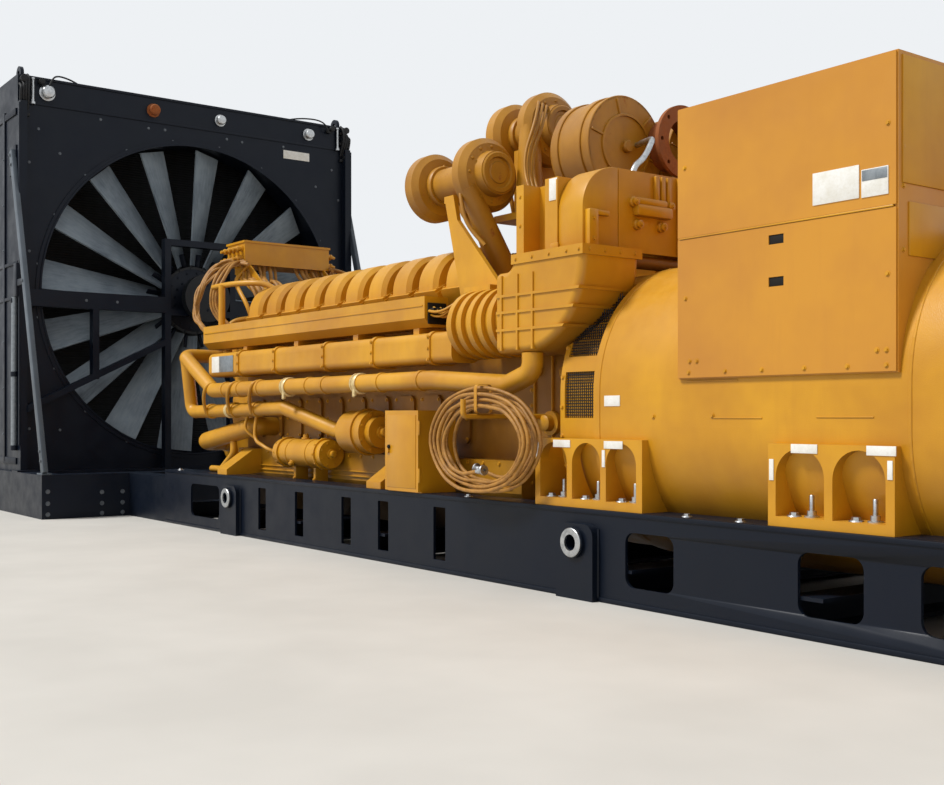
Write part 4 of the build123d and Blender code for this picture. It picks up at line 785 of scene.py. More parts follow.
def build_corner_conduits():
    """Grey conduit up the front corners, clipped to the corner posts."""
    bent_tubes("corner_conduits", [(0.027, [
        (-4.205, 1.722, 0.60), (-4.195, 1.724, 1.2), (-4.185, 1.722, 1.93)])], "rating")
    bm = bmesh.new()
    for z in (0.58, 1.24, 1.90):
        put_pairs(bm, band(0.0265, 0.033, 0.045, 0.003, 20), [(-4.195, 1.722, z)])
        put_pairs(bm, block(0.05, 0.020, 0.030, 0.004), [(-4.24, RADIATOR_SIDE, z)])
    close_piece("conduit_clips", bm, "frame")


def build_core_guard():
    """Level and upright bars behind the core."""
    bm = bmesh.new()
    bar, upright = block(0.016, 3.30, 0.022, 0.004), block(0.022, 0.030, 3.06, 0.004)
    for number in range(13):
        put(bm, bar, at((-4.99, 0, CORE_BOTTOM + number * 0.25)))
    for number in range(9):
        put(bm, upright, at((-4.985, -1.56 + number * 0.39, 2.12)))
    close_piece("core_guard", bm, "frame")


def build_radiator(fasteners):
    build_radiator_face(bolt(fasteners.small), bolt(fasteners.middle))
    build_header_fittings()
    build_braces()
    build_corner_conduits()
    build_core_guard()


def build_fan(fasteners):
    """Bolts, blade clamps and hub cover on the rotor, riding with the fan."""
    small = bolt(fasteners.small)
    hub_face = -4.223
    bm = bmesh.new()
    cover = turned([
        (0.0, 0.026), (0.085, 0.026), (0.095, 0.018), (0.095, 0.006), (0.30, 0.004), (0.306, 0.0),
        (0.0, -0.001)], 48)
    put(bm, cover, at((hub_face, 0, FAN_HEIGHT), ALONG))
    clamp = block(0.10, 0.018, 0.13, 0.006)
    for spot, turn in ring_places((hub_face - 0.07, 0, FAN_HEIGHT), 0.40, BLADES, FIRST_BLADE):
        put(bm, clamp, Matrix.Translation(spot) @ turn @ Matrix.Rotation(radians(42), 4, "Z"))
    close_piece("fan_hub_cover", bm, "frame", "fan")
    bm = bmesh.new()
    for radius in (0.20, 0.27):
        put_ring(bm, small, (hub_face + 0.004, 0, FAN_HEIGHT), radius, BLADES, phase=FIRST_BLADE)
    put_ring(bm, small, (-3.893, 0, FAN_HEIGHT), 0.12, 6)
    close_piece("fan_bolts", bm, "frame", "fan")


# Engine


def build_engine_bolts(small, middle, large):
    bm = bmesh.new()
    put_pairs(bm, small, [
        (x + end, *bank_point(COVER_FLANGE, across))
        for x in CYLINDERS for end in (-0.106, 0.106) for across in (-0.205, 0.205)], BANK_AXIS)
    put_pairs(bm, small, [
        (x + end, DOOR_FACE, z)
        for x in CYLINDERS for end in (-0.088, 0.088) for z in (0.73, 0.85, 0.97)], OUT)
    put_pairs(bm, small, [(-1.70 + number * 3.4 / 23, PAN_FACE, 0.60) for number in range(24)], OUT)
    put_pairs(bm, small, [(x, MANIFOLD_FACE, z) for x in MANIFOLD_JOINTS for z in (1.19, 1.255, 1.32)], OUT)
    put_pairs(bm, large, [(x, 0.93, 0.47) for x in (-1.50, -1.40, 0.63, 0.73)])
    put_pairs(bm, middle, [
        (-2.02, 0.18 + 0.045 * number, 0.52 + 0.10 * number) for number in range(10)], BACK)
    close_piece("engine_bolts", bm, "cast")


def build_engine_sides(small):
    """Studs, saddles and plugs of the oil coolers, covers of the flywheel housing, ends of the wire ducts."""
    bm, heads = bmesh.new(), bmesh.new()
    plug = turned([
        (0.0, 0.0), (0.030, 0.0), (0.030, 0.012), (0.020, 0.014), (0.020, 0.032), (0.014, 0.036),
        (0.0, 0.036)], 20)
    for x in (-0.752, -0.202):
        for spot, turn in ring_places((x, *OIL_COOLER), 0.1075, 10, 0.05):
            put(heads, small, at(spot, turn @ Vector(UP), 0.6))
    put_ring(heads, small, (0.4085, *OIL_FILTER), 0.119, 8, phase=1 / 16)
    put_ring(heads, small, (-0.13, *OIL_COOLER), 0.076, 8, phase=1 / 16, factor=0.8)
    for x in (-0.62, -0.34):
        put_pairs(bm, band(0.0945, 0.0995, 0.030, 0.0015, 40), [(x, *OIL_COOLER)], ALONG)
        put_pairs(bm, block(0.030, 0.10, 0.150, 0.005), [(x, 0.77, 0.480)])
        put_pairs(heads, small, [(x, 0.822, 0.435)], OUT)
    for point, axis, factor in (
            ((-0.13, *OIL_COOLER), ALONG, 1.2), ((0.47, *OIL_FILTER), ALONG, 1.4),
            ((-0.48, 0.8073, 0.706), UP, 1.0), ((-0.55, 0.875, 0.545), (0, 1, -0.6), 0.8),
            ((1.93, FLYWHEEL_SIDE, 0.83), OUT, 2.2), ((2.06, FLYWHEEL_SIDE, 1.10), OUT, 1.5),
            ((1.80, FLYWHEEL_SIDE, 1.12), OUT, 1.3)):
        put_pairs(bm, plug, [point], axis, factor)
    # Level ledges of the pan, and upright ribs on the flywheel housing
    put_pairs(bm, block(3.30, 0.012, 0.008), [(0.02, 0.706, z) for z in (0.468, 0.500)])
    put_pairs(bm, block(0.012, 0.016, 0.55, 0.004), [
        (x, FLYWHEEL_SIDE + 0.006, 0.95) for x in (1.78, 1.93, 2.08, 2.20)])
    put_pairs(heads, small, [
        (x, FLYWHEEL_SIDE, 0.50 + 0.085 * number) for x in (2.232, 1.745) for number in range(9)], OUT)
    close_piece("engine_side_fittings", bm, "cast")
    close_piece("engine_side_bolts", heads, "cast")

    # Ledge along the wire ducts, and dark blocks at their rear ends: painted shade standing for the openings
    bm = bmesh.new()
    put_pairs(bm, block(3.06, 0.006, 0.010, 0.002), [(-0.49, 0.872, 1.515)])
    close_piece("duct_ledges", bm, "sheet")
    bm = bmesh.new()
    put_pairs(bm, block(0.012, 0.130, 0.125, 0.004), [(1.066, 0.785, 1.470)])
    put_pairs(bm, block(0.05, 0.026, 0.030, 0.005), [
        (1.092, 0.742 + 0.030 * number, 1.485) for number in range(4)])
    close_piece("duct_opening_shade", bm, "dark")


def build_pipe_clamps(small):
    clamp = turned([
        (0.0555, -0.030), (0.062, -0.030), (0.066, -0.024), (0.066, -0.012), (0.061, -0.010), (0.061, 0.010),
        (0.066, 0.012), (0.066, 0.024), (0.062, 0.030), (0.0555, 0.030)], 32, closed=True)
    lower_ring = band(0.0505, 0.058, 0.040)
    bm = bmesh.new()
    for x, z in ((-0.468, 1.0658), (0.461, 1.0694)):
        put_pairs(bm, clamp, [(x, UPPER_PIPE, z)], ALONG)
        put_pairs(bm, block(0.03, 0.02, 0.05, 0.004), [(x, 0.985, z - 0.055)])
        put_pairs(bm, small, [(x, 0.990, z - 0.078)], (0, 0, -1))
    put_pairs(bm, lower_ring, [(-1.47, LOWER_PIPE, 0.909)], LOWER_PIPE_AXIS)
    close_piece("bright_pipe_clamps", bm, "chromate")
    bm = bmesh.new()
    joints = (
        (-1.45, 1.063), (-1.195, 1.0637), (-0.873, 1.065), (-0.17, 1.067), (0.05, 1.068), (0.72, 1.070),
        (1.15, 1.0716))
    put_pairs(bm, band(0.0555, 0.0605, 0.030), [(x, UPPER_PIPE, z) for x, z in joints], ALONG)
    lower_joints = ((-1.81, 0.9037), (-1.389, 0.9102), (-1.026, 0.9158))
    put_pairs(bm, lower_ring, [(x, LOWER_PIPE, z) for x, z in lower_joints], LOWER_PIPE_AXIS)
    close_piece("pipe_joint_rings", bm, "cast")


def build_engine_lines():
    # Small pipes bent over the two long ones, then drains and level pipes low on the pan
    runs = [(0.013, [
        (x + 0.12, 0.93, 1.118), (x + 0.12, 0.992, 1.112), (x + 0.10, 1.010, 1.06), (x + 0.05, 0.995, 0.99),
        (x + 0.01, 0.965, 0.93), (x, 0.952, 0.885)]) for x in (-1.81, -1.39, -1.03)]
    runs.append((0.014, [
        (-1.09, 0.88, 0.86), (-1.09, 0.90, 0.74), (-1.05, 0.90, 0.68), (-0.97, 0.90, 0.66),
        (-0.88, 0.88, 0.62), (-0.84, 0.82, 0.60)]))
    runs.append((0.011, [(-1.24, 0.88, 0.86), (-1.25, 0.90, 0.80), (-1.22, 0.89, 0.74), (-1.18, 0.84, 0.70)]))
    # Injector lines along each bank
    y, z = bank_point(0.90, 0.235)
    for x in CYLINDERS:
        runs.append((0.009, [
            (x + 0.13, y - 0.03, z + 0.02), (x + 0.135, y + 0.02, z), (x + 0.135, 0.70, 1.46),
            (x + 0.13, 0.74, 1.40)]))
    # Loose leads out of the duct's rear end, up to the rear head
    for number in range(8):
        drop = 0.022 * (number % 3)
        sway = 0.02 * sin(number * 2.1)
        runs.append((0.007 + 0.002 * (number % 2), [
            (1.075, 0.735 + 0.016 * number, 1.46 + drop),
            (1.17, 0.750 + 0.014 * number, 1.43 + drop * 0.6 + sway),
            (1.24 + sway, 0.755 + 0.006 * number, 1.50 + drop * 0.5),
            (1.27 + 0.02 * number, 0.70, 1.585 + sway),
            (1.36 + 0.03 * number, 0.655, 1.60 + 0.010 * number), (1.50 + 0.03 * number, 0.625, 1.60)]))
    bent_tubes("engine_lines", runs, "cast")


def build_front_leads():
    # Loose leads that arch from the control box over the stand and down to the duct
    runs = []
    for number in range(9):
        out = 0.012 * number
        drift = [0.042 * sin(1.9 * number + 2.3 * step) for step in range(6)]
        runs.append((0.008 + 0.003 * (number % 3), [
            (-2.30 + out, 0.40, 2.17 - 0.5 * out), (-2.39 - out, 0.50 + drift[0] * 0.5, 2.15 + drift[0]),
            (-2.48 + drift[1], 0.62, 2.04 + drift[2]), (-2.51 + drift[2], 0.70 + 0.3 * out, 1.88 + drift[3]),
            (-2.46 + drift[3], 0.74 + 0.4 * out, 1.70 + drift[4]),
            (-2.30 + drift[4], 0.76, 1.58 + drift[5] * 0.6), (-2.16 + out, 0.72 + 0.8 * out, 1.49),
            (-2.045, 0.72 + out, 1.48)]))
    for number in range(3):
        back = 0.05 * number
        runs.append((0.013, [
            (-2.36 + 0.03 * number, 0.44, 2.15), (-2.28 + 0.04 * number, 0.54, 2.13),
            (-2.20 + back, 0.68, 2.03 - 0.04 * number), (-2.20 + back, 0.74, 1.86),
            (-2.22 + back, 0.72, 1.70), (-2.12 + back, 0.66, 1.60)]))
    # Short hoses crowded under the control box, down to the gear case and the front heads
    for number in range(7):
        across = 0.10 + 0.05 * number
        drift = 0.03 * sin(2.6 * number)
        runs.append((0.013 + 0.004 * (number % 3), [
            (-2.33, across, 2.15), (-2.30 + drift, across, 2.06),
            (-2.20 + drift, across + 0.05, 1.99 - drift), (-2.06, across + 0.09, 1.97 + drift),
            (-1.94, across + 0.08, 1.88),
            (-1.90 + drift, across + 0.05, 1.74), (-1.93, across + 0.02, 1.58)]))
    bent_tubes("front_leads", runs, "hose")


def build_control_box(small):
    # Connectors on the ends of the box, in two rows, and its seam and lid screws
    bm = bmesh.new()
    connector = turned([
        (0.0, -0.004), (0.027, -0.004), (0.027, 0.010), (0.020, 0.012), (0.020, 0.034), (0.024, 0.036),
        (0.024, 0.052), (0.015, 0.056), (0.012, 0.085), (0.0, 0.085)], 16)
    rows = [(-2.555 + 0.078 * number, 0.401, z) for number in range(4) for z in (2.185, 2.265)]
    put_pairs(bm, connector, rows, (0, 1, -0.15))
    put_pairs(bm, block(0.20, 0.050, 0.050, 0.008), [(-2.43, 0.425, 2.145)])
    put_pairs(bm, small, [(x, 0.36, 2.331) for x in (-2.56, -2.31)])
    put(bm, block(0.010, 0.78, 0.006, 0.002), at((-2.268, 0, 2.318)))
    close_piece("control_box_fittings", bm, "cast")

    # Pipe frame of the stand beside the box, and the pipes that curl before the gear case
    bent_tubes("front_pipes", [
        (0.028, [(-1.96, 0.75, 1.585), (-1.96, 0.75, 1.74), (-1.96, 0.75, 1.905)]),
        (0.022, [
            (-2.12, 0.75, 1.90), (-1.90, 0.74, 1.905), (-1.66, 0.66, 1.905), (-1.54, 0.54, 1.89),
            (-1.47, 0.50, 1.82)]),
        (0.030, [
            (-2.02, 0.30, 1.12), (-2.14, 0.36, 1.12), (-2.17, 0.50, 1.20), (-2.14, 0.62, 1.34),
            (-2.02, 0.66, 1.44)]),
        (0.024, [
            (-2.10, 0.42, 1.66), (-2.16, 0.52, 1.66), (-2.20, 0.60, 1.58), (-2.19, 0.62, 1.40),
            (-2.08, 0.60, 1.20), (-2.02, 0.55, 1.14)]),
        (0.018, [
            (-2.30, 0.36, 2.12), (-2.30, 0.44, 2.04), (-2.20, 0.52, 1.96), (-2.02, 0.56, 1.86),
            (-1.90, 0.54, 1.72), (-1.86, 0.50, 1.52)])], "cast")


def build_engine(fasteners):
    small = bolt(fasteners.small)
    build_engine_bolts(small, bolt(fasteners.middle), bolt(fasteners.large))
    build_engine_sides(small)
    build_pipe_clamps(small)
    build_engine_lines()
    build_front_leads()
    build_control_box(small)


def build_turbochargers(fasteners):
    small = bolt(fasteners.small)
    clamp = turned([
        (0.104, -0.022), (0.118, -0.022), (0.124, -0.010), (0.124, 0.010), (0.118, 0.022), (0.104, 0.022)],
        36, closed=True)
    # Inlet cover: a broad disc with a shallow dished step inside its rim
    disc = turned([
        (0.0, 0.020), (0.060, 0.019), (0.066, 0.013), (0.084, 0.012), (0.090, 0.026), (0.112, 0.026),
        (0.119, 0.020), (0.121, -0.008), (0.0, -0.008)], 44)
    cap = turned([
        (0.0, 0.030), (0.045, 0.028), (0.062, 0.020), (0.066, 0.0), (0.090, 0.0), (0.092, -0.008),
        (0.0, -0.008)], 36)
    iron, bolts = bmesh.new(), bmesh.new()
    for (y, z), turbine, compressor in ((LOW_TURBO, 0.78, 1.30), (HIGH_TURBO, 1.12, 1.45)):
        clamped = (turbine + 0.10, compressor - 0.11)
        put_pairs(iron, clamp, [(x, y, z) for x in clamped], ALONG)
        put_pairs(bolts, small, [(x, y, z + 0.124) for x in clamped])
        put_pairs(iron, disc, [(compressor + 0.104, y, z)], ALONG)
        put_pairs(iron, cap, [(turbine - 0.085, y, z)], BACK, 0.9)
        put_ring(bolts, small, (compressor + 0.056, y, z), 0.158, 12, factor=0.9)
        put_ring(bolts, small, (turbine - 0.068, y, z), 0.140, 8, BACK, 1 / 16, 0.9)
    close_piece("turbocharger_clamps", iron, "burnt")
    close_piece("turbocharger_bolts", bolts, "burnt")

    runs = [
        (0.014, [
            (1.05, 0.60, 2.37), (1.05, 0.60, 2.43), (1.06, 0.50, 2.48), (1.14, 0.38, 2.40),
            (1.20, 0.34, 2.22), (1.24, 0.34, 2.06)]),
        (0.012, [
            (1.285, 0.24, 2.66), (1.285, 0.24, 2.72), (1.30, 0.12, 2.76), (1.34, 0.03, 2.70),
            (1.36, 0.02, 2.40), (1.38, 0.02, 2.06)]),
        (0.020, [
            (1.05, 0.60, 2.16), (1.05, 0.60, 2.10), (1.10, 0.56, 2.02), (1.24, 0.50, 1.92),
            (1.36, 0.46, 1.78)]),
        (0.012, [
            (1.20, 0.70, 2.28), (1.26, 0.76, 2.22), (1.30, 0.78, 2.08), (1.34, 0.76, 1.94),
            (1.42, 0.70, 1.84)])]
    # Boost lines and sensor leads looped over each upper compressor
    for number in range(3):
        lift = 0.03 * number
        runs.append((0.009, [
            (1.40, 0.24 + lift, 2.60 + lift), (1.46, 0.28 + lift, 2.68 + lift * 0.5),
            (1.56, 0.36 + lift, 2.66), (1.62, 0.44 + lift, 2.52), (1.60, 0.50 + lift, 2.34),
            (1.64, 0.52 + lift, 2.18), (1.72, 0.54 + lift, 2.09)]))
    bent_tubes("turbocharger_oil_lines", runs, "burnt")


def rounded_end():
    """The far end housing of the charge-air cooler, its upper outer corner rounded in one broad curve."""
    bm = bmesh.new()
    inner, low, top, corner = 0.692, 1.6903, 2.100, 0.215
    outline = [(inner, low), (COOLER_SIDE, low)]
    for step in range(13):
        angle = step / 12 * pi / 2
        outline.append((COOLER_SIDE - corner + corner * cos(angle), top - corner + corner * sin(angle)))
    outline.append((inner, top))
    face = bm.faces.new([bm.verts.new((COOLER_FRONT, y, z)) for y, z in outline])
    grown = bmesh.ops.extrude_face_region(bm, geom=[face])
    moved = [item for item in grown["geom"] if isinstance(item, bmesh.types.BMVert)]
    bmesh.ops.translate(bm, verts=moved, vec=(COOLER_REAR - COOLER_FRONT, 0, 0))
    bmesh.ops.recalc_face_normals(bm, faces=bm.faces[:])
    sharp = [edge for edge in bm.edges if edge.calc_face_angle(0) > 0.5]
    bmesh.ops.bevel(
        bm, geom=sharp, offset=0.006, segments=2, affect="EDGES", profile=0.5, clamp_overlap=True)
    return keep_shape("rounded_end", bm)


def build_air_path(fasteners):
    small = bolt(fasteners.small)
    rear, flank = COOLER_REAR, COOLER_SIDE
    bm = bmesh.new()
    housing = rounded_end()
    for side in SIDES:
        put(bm, housing, Matrix.Scale(side, 4, OUT))
    housings = close_piece("cooler_end_housings", bm, "cast")
    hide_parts("cooler_ends")

    bm, castings = bmesh.new(), bmesh.new()
    boss = turned([
        (0.0, 0.0), (0.034, 0.0), (0.034, 0.020), (0.026, 0.026), (0.026, 0.044), (0.016, 0.048),
        (0.0, 0.048)], 16)
    for size_and_edge, points in (
            # Upright ribs and the bolted casting on the rear face of the cooler
            ((0.022, 0.028, 0.185, 0.005), [(rear + 0.010, y, 1.995) for y in (0.435, 0.392, 0.350)]),
            ((0.026, 0.040, 0.400, 0.006), [(rear + 0.012, 0.262, 1.895)]),
            ((0.050, 0.250, 0.060, 0.014), [(rear + 0.020, 0.470, 1.900)]),
            ((0.040, 0.210, 0.040, 0.012), [(rear + 0.016, 0.480, 1.945)]),
            # Edge bracket at the outer corner, and the level bracket under the rounded top
            ((0.036, 0.060, 0.180, 0.006), [(rear + 0.017, 0.885, 1.785)]),
            ((0.026, 0.100, 0.026, 0.006), [(rear + 0.012, 0.820, 1.862)]),
            # Seam band beside the rounded end, and the lug under it
            ((0.012, 0.010, 0.355, 0.003), [(2.318, flank + 0.004, 1.868)]),
            ((0.060, 0.012, 0.030, 0.005), [(2.300, flank + 0.006, 1.715)])):
        put_pairs(castings, block(*size_and_edge), points)
    studs = ((0.597, 1.941), (0.569, 1.829), (0.399, 1.830), (0.345, 1.940))
    put_pairs(castings, boss, [(rear, y, z) for y, z in studs], ALONG, 0.8)
    put_pairs(bm, small, [(rear + 0.038, y, z) for y, z in studs], ALONG)
    put_pairs(bm, small, [(rear + 0.034, 0.885, z) for z in (1.73, 1.83)], ALONG)
    # Bolts round the elbow's head and up its front edge
    put_pairs(bm, small, [(x, 1.018, 1.665) for x in (2.09, 2.22, 2.35, 2.48, 2.57)], OUT, 0.8)
    put_pairs(bm, small, [(2.598, y, 1.665) for y in (0.67, 0.77, 0.87, 0.97)], ALONG, 0.8)
    put_pairs(bm, small, [(2.02, flank + 0.0003, z) for z in (1.70, 1.85, 2.00)], OUT, 0.8)
    close_piece("air_path_bolts", bm, "cast")
    close_piece("cooler_castings", castings, "sheet")

    # Pipe under the cooler, in the darker enamel of painted shade, and the bright vent pipe that rises from
    # it to the exhaust
    bent_tubes("cooler_drain_pipe", [(0.034, [
        (2.45, y, 1.650) for y in (-0.60, -0.20, 0.20, 0.60)])], "grimy", 4, mirrored=False)
    bent_tubes("vent_pipes", [(0.016, [
        (2.42, 0.52, 2.100), (2.42, 0.50, 2.150), (2.41, 0.44, 2.185), (2.39, 0.38, 2.240),
        (2.37, 0.33, 2.300), (2.33, 0.28, 2.335), (2.22, 0.24, 2.340), (2.151, 0.22, 2.340)])], "zinc", 3)

    bm = bmesh.new()
    put_pairs(bm, plate(0.060, 0.110), [(2.285, flank + 0.002, 2.000)])
    put(bm, plate(0.130, 0.120), at((-1.635, -0.952, 1.257)))
    close_piece("engine_blank_plates", bm, "plate")
    bm = bmesh.new()
    put(bm, plate(0.235, 0.120), at((-1.448, -0.952, 1.257)))
    close_piece("manifold_blank_plate", bm, "rating")


def build_exhaust(fasteners):
    # Belts round the collectors, then rim, stiffening ring, boss and ribs on their rear ends
    bm = bmesh.new()
    put_pairs(bm, band(0.27, 0.279, 0.05, 0.003, 64), [(x, *COLLECTOR) for x in (1.88, 2.06)], ALONG)
    put_pairs(bm, band(0.262, 0.276, 0.022, 0.003, 64), [(2.139, *COLLECTOR)], ALONG)
    put_pairs(bm, band(0.165, 0.178, 0.014, 0.003, 48), [(2.154, *COLLECTOR)], ALONG)
    boss = turned([(0.0, 0.030), (0.028, 0.028), (0.034, 0.020), (0.034, 0.0), (0.0, -0.002)], 24)
    put_pairs(bm, boss, [(2.150, *COLLECTOR)], ALONG)
    rib = block(0.010, 0.014, 0.085)
    for spot, turn in ring_places((2.153, *COLLECTOR), 0.218, 6, 1 / 24):
        put(bm, rib, Matrix.Translation(spot) @ turn)
    lagging = band(0.095, 0.108, 0.034, 0.004, 28)
    put_pairs(bm, lagging, [(x, 0.105, 1.79) for x in (-1.25, -0.66, -0.08, 0.51, 1.10)], ALONG)
    close_piece("exhaust_bands", bm, "burnt")
    bm = bmesh.new()
    put_ring(bm, bolt(fasteners.middle), (2.27, 0, 2.3605), 0.17, 8, BACK)
    close_piece("exhaust_flange_bolts", bm, "rusted")


# Generator


def build_air_screens():
    """Wire screens in the front bell's windows."""
    bm = bmesh.new()
    level = block(0.216, 0.005, WIRE, 0.0015, 1)
    front, width, columns = 2.372, 0.22, 15
    for low, high in ((0.86, 1.085), (1.16, 1.47)):
        tall = high - low
        rows = ceil(tall / WIRE_PITCH)
        heights = [low + tall * number / rows for number in range(1, rows)]
        put_pairs(bm, level, [(front + width / 2, drum_half(z) - 0.026, z) for z in heights])
        # The upright wires are in four lengths, which follow the drum's curve
        upright = block(WIRE, 0.005, tall / 4, 0.0015, 1)
        heights = [low + tall * (number + 0.5) / 4 for number in range(4)]
        put_pairs(bm, upright, [
            (front + width * number / columns, drum_half(z) - 0.028, z)
            for number in range(1, columns) for z in heights])
    close_piece("air_screens", bm, "rubber")


def build_generator_bolts(small, large):
    # Few bolts on the cover: its lower edge, pairs in its lower corners, two up each side
    bm = bmesh.new()
    cover_bolts = (
        (3.228, 1.058), (3.433, 1.058), (3.627, 1.058), (3.837, 1.058), (4.036, 1.058), (4.205, 1.058),
        (3.234, 1.106), (3.275, 1.106), (4.165, 1.114), (4.205, 1.114), (3.210, 1.380), (4.210, 1.393),
        (4.212, 1.947), (3.205, 1.947))
    put_pairs(bm, small, [(x, COVER_FACE, z) for x, z in cover_bolts], OUT, 0.85)
    heights = [0.48 + number * 0.145 for number in range(8)]
    put_pairs(bm, small, [(2.352, drum_half(z) - 0.018, z) for z in heights], OUT)
    put_pairs(bm, small, [(x, drum_half(z), z) for x, z in ((2.996, 0.868), (3.346, 0.872))], OUT)
    for x, axis in ((BOX_REAR, ALONG), (BOX_FRONT, BACK)):
        put_pairs(bm, small, [(x, 0.930, z) for z in (2.060, 1.860, 1.715, 1.480)], axis, 0.85)
    put_ring(bm, small, (4.985, 0, CRANK_HEIGHT), 0.395, 24)
    close_piece("generator_bolts", bm, "cast")

    # Jacking studs with their nuts, standing in the feet's pockets
    stud = turned([
        (0.0, 0.0), (0.030, 0.0), (0.030, 0.006), (0.019, 0.007), (0.019, 0.026), (0.010, 0.027),
        (0.010, 0.085), (0.008, 0.088), (0.0, 0.088)], 14)
    bm = bmesh.new()
    for low, high, count in ((2.21, 2.96, 3), (3.672, 4.25, 2)):
        pockets = [low + (high - low) / count * (number + 0.5) for number in range(count)]
        put_pairs(bm, stud, [(x + 0.02, 0.92, 0.470) for x in pockets])
        put_pairs(bm, large, [(x - 0.05, 0.94, 0.470) for x in pockets], factor=1.1)
    close_piece("foot_studs", bm, "zinc")


def build_box_lips():
    """Lips and end panels of the terminal box, dark plates in its handle cups as painted shade, and welded
    seams round the drum.
    """
    bm = bmesh.new()
    put_pairs(bm, block(1.06, 0.008, 0.008), [(3.705, COVER_FACE, 1.640)])
    heights = [0.20 + 1.40 * number / 22 for number in range(23)]
    for x in (4.292, 2.640):
        line = [Vector((x, drum_half(z), z)) for z in heights]
        for first, second in zip(line, line[1:]):
            seam = block(0.012, 0.008, (second - first).length + 0.004, 0.002, 1)
            put_pairs(bm, seam, [(first + second) / 2], second - first)
    for x, length, z in ((3.484, 0.26, 0.862), (4.01, 0.26, 0.866), (3.34, 0.29, 1.020)):
        put_pairs(bm, block(length, 0.006, 0.006, 0.002), [(x, drum_half(z) + 0.001, z)])
    # End panels: an upper one, and a lower one inset at each side
    for x in (BOX_FRONT - 0.002, BOX_REAR + 0.002):
        put(bm, block(0.008, 1.88, 0.470), at((x, 0, 1.960)))
        put_pairs(bm, block(0.008, 0.300, 0.200), [(x, 0.750, 1.560)])
    close_piece("box_lips", bm, "sheet")

    bm = bmesh.new()
    # Dark plates in the handle recesses: painted shade.
    put_pairs(bm, plate(0.073, 0.036), [(3.700, 0.9645, z) for z in (1.580, 1.410)])
    close_piece("handle_cup_shade", bm, "dark")


def build_generator_plates():
    """Blank plates: level and upright ones on the feet, one on the drum, two on the near cover."""
    bm = bmesh.new()
    level_places = ((2.412, 0.735), (2.775, 0.735), (3.850, 0.742), (4.195, 0.742))
    put_pairs(bm, plate(0.125, 0.036), [(x, FOOT_FACE, z) for x, z in level_places])
    for length, height, x, z in (
            (0.022, 0.085, 3.691, 0.655), (0.022, 0.070, 4.232, 0.672), (0.020, 0.090, 2.229, 0.695),
            (0.020, 0.080, 2.709, 0.670)):
        put_pairs(bm, plate(length, height), [(x, FOOT_FACE, z)])
    put(bm, plate(0.105, 0.050), at((2.730, -0.9515, 0.940)))
    put(bm, plate(0.210, 0.125), at((3.985, -0.972, 1.750)))
    put(bm, plate(0.115, 0.105), at((4.158, -0.972, 1.738)))
    close_piece("generator_blank_plates", bm, "plate")
    bm = bmesh.new()
    put(bm, block(0.108, 0.002, 0.040, 0.0008), at((4.158, -0.9745, 1.767)))
    close_piece("rating_strip", bm, "rating")


def build_generator(fasteners):
    build_air_screens()
    build_generator_bolts(bolt(fasteners.small), bolt(fasteners.large))
    build_box_lips()
    build_generator_plates()


# Skid and junction box


def slotted_rail(side, node):
    """A copy of a skid rail with its narrow web slots cut out to their full width."""
    solid = bmesh.new()
    solid.from_mesh(NODES[node].data)
    bmesh.ops.remove_doubles(solid, verts=solid.verts[:], dist=1e-5)
    bmesh.ops.recalc_face_normals(solid, faces=solid.faces[:])
    slots = bmesh.new()
    slot = block(RAIL_SLOT_WIDTH, 0.060, RAIL_SLOT_HEIGHT, 0.006)
    for x in RAIL_SLOTS:
        put(slots, slot, at((x, side * 0.992, RAIL_TOP / 2)))
    rail = bpy.data.objects.new("rail", keep_shape("rail", solid))
    cutter = bpy.data.objects.new("slots", keep_shape("slots", slots))
    for holder in (rail, cutter):
        bpy.context.scene.collection.objects.link(holder)
    cut = rail.modifiers.new("slots", "BOOLEAN")
    cut.operation = "DIFFERENCE"
    cut.solver = "EXACT"
    cut.object = cutter
    return baked(rail, cutter)


def build_skid(fasteners):
    bm = bmesh.new()
    for side, node in ((-1, "skid_rail_near"), (1, "skid_rail_far")):
        put(bm, slotted_rail(side, node), Matrix.Identity(4))
    rails = close_piece("slotted_rails", bm, "frame")
    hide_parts("skid_rail_near", "skid_rail_far")
    bm = bmesh.new()
    put_pairs(bm, band(0.039, 0.070, 0.012, 0.003, 36), [(x, 1.060, 0.27) for x in LUGS], OUT)
    foot_places = (-2.30, 1.60, 3.20, 3.50, 4.60, 4.96)
    put_pairs(bm, bolt(fasteners.large), [(x, 0.95, RAIL_TOP) for x in foot_places], factor=0.9)
    close_piece("skid_bolts", bm, "zinc")
    bm = bmesh.new()
    put_pairs(bm, block(7.46, 0.008, 0.022), [(1.25, 1.0025, z) for z in (RAIL_TOP - 0.012, 0.012)])
    close_piece("rail_flange_edges", bm, "frame")
    weld = ((0.130, 0.02), (0.132, 0.20), (0.131, 0.34))
    bent_tubes("lug_welds", [
        (0.008, [(x + end * reach, 1.002, z) for reach, z in weld])
        for x in LUGS for end in (-1, 1)], "frame", 1, 6)


def build_junction_box():
    bm = bmesh.new()
    pin = turned([
        (0.0, -0.04), (0.007, -0.04), (0.008, -0.038), (0.008, 0.038), (0.007, 0.04), (0.0, 0.04)], 16)
    for z in (0.53, 0.80):
        put(bm, pin, at((1.232, -1.024, z)))
    close_piece("door_hinges", bm, "sheet")
    bm = bmesh.new()
    put(bm, block(0.30, 0.004, 0.42, 0.0015), at((1.0525, -1.0285, 0.665)))
    close_piece("door_pressing", bm, "sheet", "door")
    bm = bmesh.new()
    knob = turned([
        (0.0, 0.016), (0.010, 0.015), (0.014, 0.010), (0.015, 0.0), (0.020, -0.002), (0.0, -0.004)], 20)
    put(bm, knob, at((0.93, -1.0300, 0.690), (0, -1, 0), 0.8))
    close_piece("door_latch", bm, "dark", "door")


# Operators


